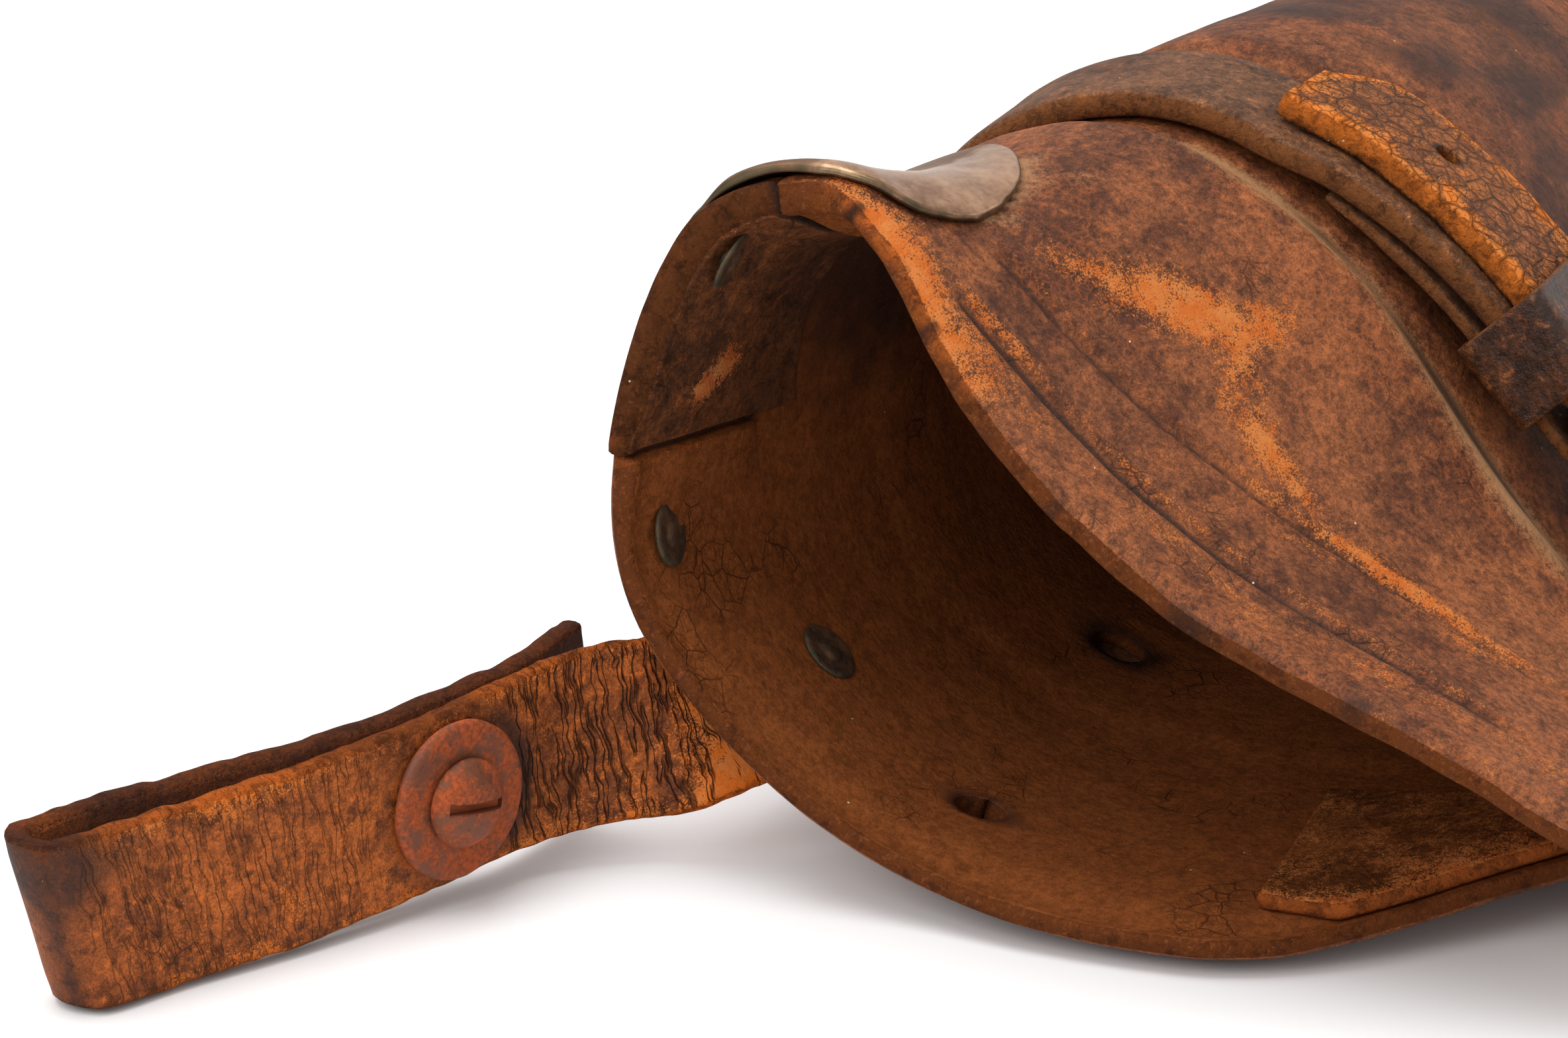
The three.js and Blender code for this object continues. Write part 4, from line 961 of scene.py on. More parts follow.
def body_masks(q, x, plain):
    from_rim = x - rim_at(q)
    near_rim = np.exp(-from_rim / 2.6)
    rubbed_and_lit = band(q, 3.9, 4.5, 5.7, 6.1)  # the stretch of rim rubbed raw and lit brightest, partly a painted highlight
    past_strap = smooth(20, 40, x)
    torn = np.exp(-abs(q - CRACK_Q) / 0.035) * (1 - smooth(14, 20, from_rim))
    lip_soot = blots(q, x, LIP_SOOTS)

    # Outside: rubbed raw, and along the lit stretch of rim a painted highlight too.
    wear = blots(q, x, SCUFFS) + lerp(0.2, 0.65, rubbed_and_lit) * near_rim - 0.02
    wear = wear + creases(q, x, (0.35, 1.6, 0.9), (0.45, 1.8, 1.0)) + 0.22 * smooth(18, 8, from_rim)
    wear = wear + past_strap * (0.75 * noise(plain, 18, 31, 3) + 0.05)
    dark = blots(q, x, SOOTS) + creases(q, x, (0.8, 0, 0.7), (1.0, 0, 0.8)) + 0.8 * torn
    dark = dark + past_strap * (0.62 + 0.16 * noise(plain, 26, 33, 2) + 0.4 * noise(plain, 7, 34, 3))
    dark = dark + lip_soot * np.exp(-np.maximum(from_rim - EDGE_R, 0) / 0.7)
    past_guard = from_rim - np.interp(q, GUARD_REAR[:, 0], GUARD_REAR[:, 1])
    gathered = band(q, 4.9, 5.0, 5.5, 5.8) * smooth(-2, 0.5, past_guard)
    dust = blots(q, x, DUSTS) + 0.95 * gathered * np.exp(-np.maximum(past_guard, 0) / 5.5)
    dust = dust + 0.35 * bump_at(x, -15, 3) * band(q, 1, 3, 9, 11)

    # Inside: lighter near the rim, most along the lit stretch, rubbed raw and partly a painted highlight.
    inside_wear_and_highlight = lerp(0.15, 0.8, rubbed_and_lit) * near_rim - 0.4 + 0.25 * bump_at(q, 10.5, 1.0)
    # Painted highlight: a light line on the wall's lip just below the slit.
    slit_highlight = 1.3 * bump_at(q, LINING_END_Q + 0.055, 0.02)
    inside_wear_and_highlight = inside_wear_and_highlight + slit_highlight * (1 - smooth(-62, -56, x))
    # Painted shade: the inner wall darker deeper into the mouth, with the lip's soot and the crack.
    inside_dark = 0.35 * smooth(10, 60, from_rim) + lip_soot + 0.8 * torn
    # Painted shadow: a dark line under the lining's lower edge, which stands proud of the wall.
    slit = 2.0 * bump_at(q, LINING_END_Q + 0.012, 0.016)
    inside_dark = inside_dark + slit * (1 - smooth(-56, -48, x))
    # Painted shade: the inner wall deep under the sunken fold.
    inside_dark = inside_dark + 0.9 * bump_at(q, 6.7, 1.2) * smooth(-62, -44, x)
    for hole_q, hole_x, _ in HOLES:
        inside_dark = inside_dark + 0.9 * bump_at(q, hole_q, 0.2) * bump_at(x, hole_x, 5.5)
    return {
        "wear": (wear, inside_wear_and_highlight),
        "dark": (dark, inside_dark),
        "dust": (dust, 0.15 * bump_at(q, 10.4, 1.2)),
        "flesh": (0.0, 1.0),
    }


def body_shell():
    q, x, keep, split = body_grid()
    plain, normal = body_frame(q, x)
    from_rim = x - rim_at(q)
    relief = body_relief(q, x, plain)
    lip = 2.3 * smooth(5.25, 5.95, q) * (q < CRACK_Q) * (1 - smooth(22, 40, from_rim))
    slit_lip = 1.5 * band(q, LINING_END_Q + 0.025, LINING_END_Q + 0.045, 8.08, 8.5)
    lip = lip + slit_lip * (1 - smooth(-56, -48, x))
    nap = noise(plain + 90, 7, 21, 2) * 0.3
    depth = thickness_at(q, x) + lip - relief * 0.5 + nap - 0.8 * pressed_at(q, x)
    outer = plain + normal * relief[..., None]
    inner = plain - normal * depth[..., None]
    from_side = (LAST / 2 - abs(q - LAST / 2)) * 22
    edge = np.exp(-np.minimum(from_rim, from_side) / 0.9) * 0.7
    slab_object("body_shell", outer, inner, "scabbard", BODY, (x, q * 40),
                body_masks(q, x, plain), keep, bulge=body_swell(q, x, split), rounds=5,
                edge_reach=edge)


# ---------- Straps round the body ----------
ROUTE_H = STRAP_THICK / 2 + 0.4
SLOT_Q = 1.0
BAR_H = 6.0
FOLD_THICK = 2.2
FOLD_H = 1.95 + FOLD_THICK / 2
FOLD_R = BAR_R + 0.3 + FOLD_THICK / 2
KEEPER_FROM = 6.0
KEEPER_TO = 21.0
KEEPER_THICK = 1.4
KEEPER_HIGH = 14.6
HINGE_S = 22.0
HIDDEN_S = 12.0  # under the keeper, where the strap and its free end meet
BILLET_LENGTH = 40.5
SIDES = {"front": (0.0, (-44.0, 53.0)), "rear": (300.0, (-38.0, 38.0))}


def hull(points):
    """The convex outline of 2-D points, clockwise."""
    ordered = sorted(map(tuple, points))

    def half(row):
        chain = []
        for p in row:
            while len(chain) > 1:
                (ax, ay), (bx, by) = chain[-2:]
                if (bx - ax) * (p[1] - ay) - (by - ay) * (p[0] - ax) < 0:
                    break
                chain.pop()
            chain.append(p)
        return chain[:-1]

    return np.array(half(ordered) + half(ordered[::-1]))


class Route:
    """The tight loop round the body at x0. s starts at the buckle's bar and h is the height off it."""

    def __init__(self, x0, start):
        half = STRAP_WIDTH / 2 + 1
        xs = np.linspace(x0 - half, x0 + half, 5)
        xs, qs = np.meshgrid(xs, np.linspace(SLOT_Q, LAST - SLOT_Q, 121))
        corners = hull(on_body(qs, xs).reshape(-1, 3)[:, 1:])
        following = np.roll(corners, -1, axis=0)
        angle = np.arctan2(following[:, 0] - corners[:, 0], corners[:, 1] - following[:, 1])
        place = []
        for k, corner in enumerate(corners):
            begin = angle[k - 1]
            turn = math.atan2(math.sin(angle[k] - begin), math.cos(angle[k] - begin))
            parts = max(1, math.ceil(abs(turn) / 0.25))
            for a in np.linspace(begin, begin + turn, parts + 1):
                place.append((*(corner + ROUTE_H * np.array([math.cos(a), math.sin(a)])), a))
            gap = following[k] - corner
            y, z, a = place[-1]
            for t in np.linspace(0, 1, math.ceil(np.hypot(*gap) / 3) + 1)[1:-1]:
                place.append((y + t * gap[0], z + t * gap[1], a))
        place = np.array(place)
        first = int(np.argmin(np.hypot(place[:, 0] - start[0], place[:, 1] - start[1])))
        place = np.concatenate([place[first:], place[: first + 1]])
        step = np.hypot(*np.diff(place[:, :2], axis=0).T)
        self.s = np.concatenate([[0], np.cumsum(step)])
        self.place = place
        self.length = self.s[-1]

    def at(self, s, h):
        around = np.mod(s, self.length)
        y, z = (np.interp(around, self.s, self.place[:, k]) for k in (0, 1))
        ny = np.interp(around, self.s, np.cos(self.place[:, 2]))
        nz = np.interp(around, self.s, np.sin(self.place[:, 2]))
        size = np.hypot(ny, nz)
        return np.stack([y + ny / size * (h - ROUTE_H), z + nz / size * (h - ROUTE_H)], axis=-1)


ROUTES = {side: Route(x0, start) for side, (x0, start) in SIDES.items()}


def slot_mask(q, x):
    """Squares of the body's grid that the straps pass through, near the sewn edge."""
    mid_q = (q[:-1, :-1] + q[1:, 1:]) / 2
    mid_x = (x[:-1, :-1] + x[1:, 1:]) / 2
    open_here = np.zeros(mid_q.shape, bool)
    for x0, _ in SIDES.values():
        across = abs(mid_x - x0) < STRAP_WIDTH / 2 + 0.8
        for low, high in ((0.98, 1.5), (LAST - 1.5, LAST - 0.98)):
            open_here |= across & (mid_q > low) & (mid_q < high)
    return open_here


def strap_rows(route):
    """The strap's stops from its folded end, round the bar and the body, to under the keeper."""
    fold = [(50, 1.1, 1.2), (40, 1.7, 2.0), (30, 2.6, FOLD_THICK), (24, FOLD_H, FOLD_THICK),
            (12, FOLD_H, FOLD_THICK)]
    rows = [(s, h, thick, 0.0) for s, h, thick in fold]
    for a in np.radians(np.linspace(-90, -270, 9)):
        rows.append((FOLD_R * math.cos(a), BAR_H + FOLD_R * math.sin(a), FOLD_THICK, 0.0))
    over = [(4, 8.9, 2.6), (8, 8, 3.4), (14, 7.5, 4), (24, 7.4, 4), (32, 6.6, 4), (40, 5.4, 4),
            (50, 4.2, 4)]
    rows += [(s, h, thick, 0.0) for s, h, thick in over]
    rows += [(s, ROUTE_H, STRAP_THICK, 0.0) for s in np.arange(60, route.length - 30, 5.0)]
    rise = [(-26, 2.4), (-19, 2.6), (-14, 4.6), (-10, 7.1), (-6, 10), (-2, 12.3), (3, 12.5), (8, 12),
            (HIDDEN_S, 11.9)]
    for s, h in rise:
        worn = 0.4 * float(bump_at(s, 3, 5))  # thinned where the keeper slides
        shift = BILLET_SHIFT / 2 * float(smooth(-4, 22, s))
        rows.append((route.length + s, h - worn / 4, STRAP_THICK - worn, shift))
    return rows


def route_ribbon(route, x0, rows):
    middle = np.array([route.at(s, h) for s, h, _, _ in rows])
    points = np.column_stack([[x0 + shift for *_, shift in rows], middle])
    wide = np.tile([1.0, 0.0, 0.0], (len(rows), 1))
    return Ribbon(points, wide, np.array([thick for _, _, thick, _ in rows]))


def strip_faces(ribbon, s, w, crown, relief, round_off=0.18):
    """Outer and inner grids of a ribbon at lengths s and widths w."""
    half = ribbon.half_thick(s)
    edge = smooth(0.8, 1.0, abs(w) / abs(w).max())
    outer = ribbon.at(s, w, half + crown * (1 - edge) - round_off * edge)
    inner = ribbon.at(s, w, -half + 0.15 * edge)
    lumps = noise(outer, 5.5, 41, 2)[..., None] * relief
    normal = unit(outer - inner)
    return outer + normal * lumps, inner - normal * lumps * 0.5


def flattened(grid):
    """Pressed flat where it lies on the ground."""
    grid = grid.copy()
    grid[..., 2] = np.maximum(grid[..., 2], 0.0)
    return grid


def body_strap(side):
    x0, _ = SIDES[side]
    route = ROUTES[side]
    ribbon = route_ribbon(route, x0, strap_rows(route))
    reach = STRAP_WIDTH / 2 - 0.7
    s, w, keep = strip_grid(np.arange(0.8, ribbon.length, 1.1), np.linspace(-reach, reach, 21))
    spread = w + ripple(s, 9, 43, np.sign(w) * 40) * 0.3 * (abs(w) / reach) ** 3
    outer, inner = strip_faces(ribbon, s, spread, 0.12, 0.1)
    edge = np.exp(-(reach - abs(w)) / 0.5) * 0.6
    wear = 0.6 * np.exp(-(reach - abs(w)) / 0.9) + 0.25 * noise(outer, 16, 44, 2) - 0.3
    masks = {
        "wear": (wear, 0.1),
        "dark": (0.25 + 0.25 * noise(outer, 13, 45, 2), 0.2),
        "dust": (0.2 + 0.2 * noise(outer, 11, 46, 2), 0.2),
    }
    # The tongue's slot at the bar, through the folded end.
    bar = ribbon.nearest(route.at(-FOLD_R, BAR_H), first=1)
    keep &= ~((abs(s[:-1, :-1] - bar) < 6.5) & (abs(w[:-1, :-1] + 0.6) < 1.9))
    slab_object(f"{side}_strap", flattened(outer), flattened(inner), "scabbard",
                STRAP, (s, w), masks, keep, bulge=0.2, rounds=3, edge_reach=edge)


BILLET_HEIGHTS = [(0, 11.8), (10, 10.9), (18, 9.8), (28, 8.7), (38, 6.9), (80, 6.8)]
TIP_CLIP = 8.0  # length of the corner cut off the tip
BILLET_THICK = 3.8
BILLET_HOLE = 20.0  # past the hinge


def strap_end(side):
    x0, _ = SIDES[side]
    route = ROUTES[side]
    heights = np.array(BILLET_HEIGHTS, float)
    rows = []
    past_hinge = np.linspace(HINGE_S, HINGE_S + BILLET_LENGTH, 12)
    for s in np.concatenate([np.arange(HIDDEN_S + 0.4, HINGE_S, 4), past_hinge]):
        past = max(s - HINGE_S, 0)
        h = float(np.interp(past, heights[:, 0], heights[:, 1]))
        shift = lerp(BILLET_SHIFT / 2, TIP_SHIFT, past / BILLET_LENGTH)
        rows.append((route.length + s, h + 0.1 * (s < HINGE_S), BILLET_THICK, shift))
    ribbon = route_ribbon(route, x0, rows)
    reach = (STRAP_WIDTH - 1) / 2 - 0.7
    end = ribbon.length - 0.8
    s, w, keep = strip_grid(np.arange(0, end, 0.75), np.linspace(-1, 1, 29))
    from_tip = end - s
    mouth_side = reach + 0.4 - 0.5 * np.maximum(1.2 - from_tip, 0)
    toe_side = reach + 0.4 - 1.15 * np.maximum(TIP_CLIP - from_tip, 0)
    w = np.where(w < 0, w * mouth_side, w * toe_side)
    hole = HINGE_S - HIDDEN_S + BILLET_HOLE
    s, w, keep = punched(s, w, keep, (hole, 1.0), (2.1, 2.0))
    swell = np.where(np.hypot(s - hole, w - 1) < 4, 0.03, 0.1)
    ragged = ripple(s, 3.5, 52, np.sign(w) * 30) * 0.45
    outer, inner = strip_faces(ribbon, s, w + ragged * (abs(w) / reach) ** 4, 0.1, 0.14, 0.1)
    from_edge = np.minimum(np.where(w < 0, mouth_side + w, (toe_side - w) * 0.7), from_tip)
    edge = np.exp(-np.maximum(from_edge, 0) / 0.5) * 0.7
    wear = 0.8 * np.exp(-np.maximum(from_edge, 0) / 1.6) + 0.3 + 0.5 * noise(outer, 8, 54, 2)
    wear = wear + 0.45 * np.exp(-from_tip / 4)
    around_hole = np.hypot((s - hole) / 1.5, w - 1)
    masks = {
        "wear": (wear, 0.3),
        "dark": (0.2 * noise(outer, 9, 55, 2) + 0.9 * bump_at(around_hole, 1.2, 1.2), 0.2),
        "dust": (0.25, 0.3),
    }
    made = slab_object(f"{side}_strap_end", outer, inner, None, BILLET, (s, w), masks,
                       keep, bulge=swell, rounds=3, edge_reach=edge)
    bend = [(x0 * MM, *(route.at(route.length + at, 11.8) * MM)) for at in (KEEPER_TO - 3, HINGE_S + 8)]
    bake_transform(made)


def rounded_loop(left, right, low, high, radius, corner=6, across=16, up=7):
    """Points round a rectangle with round corners, the same number for any size."""
    points = []
    centres = [(right - radius, low + radius, -90), (right - radius, high - radius, 0),
               (left + radius, high - radius, 90), (left + radius, low + radius, 180)]
    counts = [up, across, up, across]
    for k, (x, h, start) in enumerate(centres):
        for a in np.radians(np.linspace(start, start + 90, corner)):
            points.append((x + radius * math.cos(a), h + radius * math.sin(a)))
        next_x, next_h, next_start = centres[(k + 1) % 4]
        turn = math.radians(next_start)
        target = (next_x + radius * math.cos(turn), next_h + radius * math.sin(turn))
        begin = points[-1]
        for t in np.linspace(0, 1, counts[k] + 2)[1:-1]:
            points.append((lerp(begin[0], target[0], t), lerp(begin[1], target[1], t)))
    return np.array(points)


def keeper(side):
    x0, _ = SIDES[side]
    route = ROUTES[side]
    left = x0 - STRAP_WIDTH / 2 - 0.6
    right = x0 + STRAP_WIDTH / 2 + BILLET_SHIFT / 2 + 0.6
    low, high, t = 0.15 + KEEPER_THICK, KEEPER_HIGH, KEEPER_THICK
    s = np.linspace(KEEPER_FROM + 0.5, KEEPER_TO - 0.5, 19)
    grids = []
    for grow, radius in ((t, 2.0), (0.0, 0.9)):
        loop = rounded_loop(left - grow, right + grow, low - grow, high + grow, radius)
        worn = 0.25 * bump_at(abs(s - s.mean()), s.max() - s.mean(), 1.2) if grow else 0 * s
        rows = []
        for x, h in loop:
            top = h > (low + high) / 2
            place = route.at(s, h + worn * (1 if top else 0))
            rows.append(np.column_stack([np.full(len(s), x), place]))
        grids.append(np.array(rows))
    outer, inner = grids
    outer = outer + unit(outer - inner) * (noise(outer, 4.5, 61, 2) * 0.12)[..., None]
    along = np.tile(s, (outer.shape[0], 1))
    across = np.tile(np.linspace(0, 80, outer.shape[0])[:, None], (1, len(s)))
    from_edge = np.minimum(along - s[0], s[-1] - along)
    edge = np.exp(-from_edge / 0.6) * 0.75
    masks = {
        "wear": (0.5 * np.exp(-from_edge / 1.0) - 0.25, 0.0),
        "dark": (0.05, 0.4),
        "dust": (0.1, 0.0),
    }
    slab_object(f"{side}_keeper", outer, inner, f"{side}_keeper_loop", KEEPER,
                (along, across), masks, ring=True, bulge=0.2, rounds=3, edge_reach=edge)


class BucklePlane:
    """Places by length s, height h and side x in the plane of a strap's buckle."""

    def __init__(self, side):
        self.x0 = SIDES[side][0]
        self.origin = ROUTES[side].at(0, 0)
        self.along = unit(self.origin - ROUTES[side].at(-BUCKLE_LENGTH, 0))
        self.normal = np.array([-self.along[1], self.along[0]])

    def at(self, s, h, x):
        y, z = self.origin + self.along * s + self.normal * h
        return (self.x0 + x, y, z)


FRAME_HALF = STRAP_WIDTH / 2 + 0.8 + BAR_R
OUTER_BAR_H = 7.0
TONGUE_R = 1.1
RING_R = BAR_R + 0.3 + TONGUE_R


def buckle_frame(side):
    plane = BucklePlane(side)
    loop = rounded_loop(-BUCKLE_LENGTH, 0, -FRAME_HALF, FRAME_HALF, 3.0, 9, 20, 12)
    path = [plane.at(s, lerp(BAR_H, OUTER_BAR_H, -s / BUCKLE_LENGTH), x) for s, x in loop]
    tube(f"{side}_buckle_frame", path, BAR_R, 18, f"{side}_buckle", IRON, ring=True,
         up=(0, *plane.normal), rough=0.09, seed=71)


def buckle_tongue(side):
    plane = BucklePlane(side)
    eye = np.radians(np.linspace(-150, 170, 30))
    path = [(RING_R * math.cos(a), BAR_H + RING_R * math.sin(a)) for a in eye]
    pin = spline([(-RING_R - 0.4, BAR_H + 0.9), (-6, 8), (-12, 9.2), (-20, 10.1), (-24, 10)], 6)
    path = np.array(path + [tuple(p) for p in pin[1:]])
    radius = np.interp(np.linspace(0, 1, len(path)), [0, 0.05, 0.5, 0.95, 1], [0.6, 1.1, 1.1, 0.95, 0.5])
    points = [plane.at(s, h, 0.0) for s, h in path]
    tube(f"{side}_buckle_tongue", points, radius, 14, f"{side}_tongue", IRON,
         rough=0.06, seed=73)


# ---------- Brass guard and leather patches ----------
def patch_grid(q_line, start, end, rows, crowd=1.0):
    """Grid of (q, x) between two lines along X, crowded towards start(q) when crowd is above 1."""
    t = np.linspace(0, 1, rows) ** crowd
    q = np.repeat(q_line[:, None], rows, axis=1)
    return q, lerp(start(q_line)[:, None], end(q_line)[:, None], t)


def softened(table, q, inset):
    """A table's value at q with its corners rounded off."""
    trial = np.linspace(table[0, 0], table[-1, 0], 400)
    values = np.interp(trial, table[:, 0], table[:, 1])
    spread = np.convolve(np.pad(values, 10, mode="edge"), np.ones(21) / 21, mode="valid")
    values = lerp(values, spread, smooth(table[0, 0], table[0, 0] + 0.1, trial))
    return np.interp(q, trial, values) + inset


def throat_guard():
    near = GUARD_FRONT[0, 0] + 0.003
    tip = near + (5.6 - near) * np.linspace(0, 1, 46) ** 2.2
    q_line = np.concatenate([tip, np.linspace(5.62, 8.3, 64), np.linspace(8.33, 8.89, 26)])
    q, x = patch_grid(q_line, lambda q: rim_at(q) + softened(GUARD_FRONT, q, 0.3),
                      lambda q: rim_at(q) + softened(GUARD_REAR, q, -0.3), 52)
    plain, normal = body_frame(q, x)
    dents = noise(plain, 11, 81, 2) * 0.22 + noise(plain, 3.2, 82) * 0.03
    from_rear = x[:, -1:] - x
    from_front = x - x[:, :1]
    curl = -0.3 * np.exp(-from_rear / 1.5)
    hammered = smooth(6.6, 6.95, q) * np.exp(-((from_front / 7) ** 2))
    stand_off = 0.7 * bump_at(q, 6.3, 0.3) * np.exp(-from_front / 5)
    lift = body_relief(q, x, plain) + stand_off + curl
    outer = plain + normal * (lift + lerp(GUARD_GAP + GUARD_THICK + dents, 0.45, hammered))[..., None]
    inner = plain + normal * (lift + lerp(GUARD_GAP + dents, 0.05, hammered))[..., None]
    run = np.cumsum(np.linalg.norm(np.diff(outer, axis=0, prepend=outer[:1]), axis=-1), axis=0)
    from_edge = np.minimum(np.minimum(run, run[-1:] - run), np.minimum(from_front, from_rear))
    edge = 0.8 * np.exp(-from_edge / 0.8)
    # Painted reflection and shade: darker near the tongue's front, reflecting the dark leather, and over
    # the crest down the far side.
    dark = 0.5 * (1 - smooth(5.1, 5.7, q)) * np.exp(-from_front / 5) + 1.1 * smooth(5.7, 6.2, q)
    slab_object("throat_guard", outer, inner, "scabbard", BRASS, (x, q * 40),
                {"edge": (edge, edge), "dark": (dark, dark)}, bulge=0.4, rounds=3)


def inside_patch(name, q, x, wear, dark, dust, seed, material, wobble=0.12, wrap=0.0, thin=1.0):
    """A patch on the inner wall. wrap is how far its outer face turns up over the sheet's cut edge."""
    plain, normal = body_frame(q, x)
    lumps = noise(plain, 6, seed, 2) * wobble * 2
    depth = thickness_at(q, x) + LINING_GAP
    outer = plain - normal * lerp(depth - 0.45 - 0.1 * lumps, 0.4, wrap)[..., None]
    inner = plain - normal * (depth - 0.45 + (PATCH_THICK + 0.35) * thin + lumps)[..., None]
    masks = {"wear": (wear, wear), "dark": (dark, dark), "dust": (0.0, dust)}
    slab_object(name, outer, inner, "scabbard", material, (x, q * 40), masks,
                bulge=0.3, rounds=5)


def throat_lining():
    q_line = np.linspace(CRACK_Q + 0.042, LINING_END_Q - 0.01, 90)

    def start(q):
        return rim_at(q) + 1.1 + 0.2 * ripple(q * 9, 1.6, 91, 7.0) - 0.5 * smooth(7.8, 8.0, q)

    def end(q):
        return -46 + 4 * (q - 7) ** 2

    q, x = patch_grid(q_line, start, end, 60, 1.5)
    from_rim = x - start(q_line)[:, None]
    wear = blots(q, x, [(7.68, -63, 0.1, 4, 1.1), (7.78, -68, 0.09, 3, 1.2), (7.1, -40, 0.3, 4, 0.5)])
    wear = wear + 0.3 * np.exp(-from_rim / 3) - 0.1
    # Painted shade: darker deeper into the mouth. The upper edge by the crack is darker too.
    dark = 0.35 * smooth(-70, -50, x) + 0.2 + 0.6 * np.exp(-(q - q_line[0]) / 0.03)
    dust = blots(q, x, [(7.7, -66, 0.1, 4, 0.55)])
    wrap = 1 - smooth(0.3, 2.4, from_rim)
    thin = lerp(1.0, 0.3, np.maximum(smooth(-66, -48, x), smooth(7.75, 8.0, q)))
    inside_patch("throat_lining", q, x, wear, dark, dust, 92, LINING, wrap=wrap, thin=thin)


def seam_patch():
    q_line = np.linspace(11.02, 11.98, 46)

    def start(q):
        return np.maximum(rim_at(q), -80) + 3.6

    def end(q):
        return np.full_like(q, -34.5)

    q, x = patch_grid(q_line, start, end, 52)
    wear = 0.4 * np.exp(-(x - start(q_line)[:, None]) / 2.0) + 0.45
    inside_patch("seam_patch", q, x, wear, 0.0, 0.3, 94, PATCH, 0.16)


# ---------- Seam: welt, stitches and rivets ----------
def seam_welt():
    q = np.repeat(np.array([0.06, 0.2, 0.35, 0.5, 0.65, 0.8, 0.94])[:, None], 300, axis=1)
    x = np.tile(np.linspace(SEAM_START + 0.8, TOE_X - 1.8, 300), (7, 1))
    upper = on_body(q, x, -SHEET - CLEAR)
    lower = on_body(LAST - q, x, -SHEET - CLEAR)
    layers = noise(upper, 3.5, 101, 2) * 0.2
    upper[..., 1] += layers * (q < 0.1)
    masks = {"wear": (0.3, 0.3), "dark": (0.3, 0.3), "dust": (0.2, 0.2), "edge": (0.3, 0.3)}
    slab_object("seam_welt", upper, lower, "scabbard", EDGE, (x, q * 14), masks,
                bulge=0.12, rounds=4)


THREAD_R = 0.6
THREAD_Q = 0.28
STITCH = 4.6
STITCH_GAP = 1.7


def seam_thread(name, q):
    """A row of separate stitches, each a short cord that dips into the leather at both ends."""
    all_points, all_faces = [], []
    sides, rows = 8, 9
    t = np.linspace(0, 1, rows)
    from_middle = 2 * abs(t - 0.5)
    x = SEAM_START + 14
    while x + STITCH < TOE_X - 18:
        lift = THREAD_R * 0.75 - 1.2 * from_middle**4
        middle = on_body(q + 0.012 * (t - 0.5), x + t * STITCH, lift)
        along = unit(np.gradient(middle, axis=0))
        side = unit(np.cross([0, 0, 1.0], along))
        radius = THREAD_R * (1 - 0.35 * from_middle**6)
        ring = circle(side, np.cross(along, side), sides)
        points = (middle[:, None] + ring * radius[:, None, None]).reshape(-1, 3)
        points = np.concatenate([points, middle[[0, -1]]])
        base = sum(len(p) for p in all_points)
        all_faces += [tuple(k + base for k in f) for f in facing_out(points, capped(rows, sides))]
        all_points.append(points)
        x += STITCH + STITCH_GAP
    points = np.concatenate(all_points)
    make_object(name, points, all_faces, "scabbard", THREAD, {"rest": points})


RIVET_HEAD = 4.6
FLUSH_SEAT = 0.5  # off the leather, for a head hammered flat
RIVET_SHANK = 1.9
HEAD_SEAT = 0.3
RIVETS = [
    ("guard_rivet_upper", 7.1, -70.0, GUARD_THICK + GUARD_GAP, PATCH_THICK + LINING_GAP),
    ("guard_rivet_lower", 8.5, -73.0, GUARD_THICK + GUARD_GAP, 0.0),
    ("hanger_rivet", 9.3, -53.0, HANGER_THICK + CLEAR, 0.0),
]
SEAM_RIVETS = [("seam_rivet_mouth", 0.5, -20.0), ("seam_rivet_toe", 0.5, 408.0)]


def rivet(name, at, axis, grip, seed, flush=False):
    """A domed head outside and a burr hammered over its washer inside."""
    inside = -grip - HEAD_SEAT
    dome = 0.25 if flush else 1.0
    profile = [
        (0, inside - 0.75), (1.2, inside - 0.65), (1.75, inside - 0.35), (1.95, inside - 0.2),
        (4.2, inside - 0.3), (RIVET_HEAD, inside - 0.05), (RIVET_HEAD, inside + 0.3),
        (RIVET_SHANK, inside + 0.35),
        (RIVET_SHANK, HEAD_SEAT * dome), (RIVET_HEAD, HEAD_SEAT * dome), (RIVET_HEAD, 0.6 * dome),
        (4.3, 0.95 * dome), (2.6, 1.6 * dome), (1.2, 1.85 * dome), (0, 1.9 * dome),
    ]
    lathe(name, profile, 40, at, axis, "scabbard", COPPER, rough=0.12, seed=seed)


def rivets():
    for k, (name, q, x, outside, inside) in enumerate(RIVETS):
        at, normal = body_frame(q, x)
        flush = name.startswith("guard")
        outside = FLUSH_SEAT if flush else outside
        grip = outside + float(thickness_at(q, x)) + inside
        rivet(name, at + normal * outside, normal, grip, 110 + k, flush)
    for k, (name, q, x) in enumerate(SEAM_RIVETS):
        near, far = on_body(q, x), on_body(LAST - q, x)
        rivet(name, near, near - far, float(np.linalg.norm(near - far)), 120 + k)


# ---------- Toe ----------
PLUG_FROM = TOE_X - 14
TOE_RIVETS = [4.3, 6.5, 8.6, 10.6]


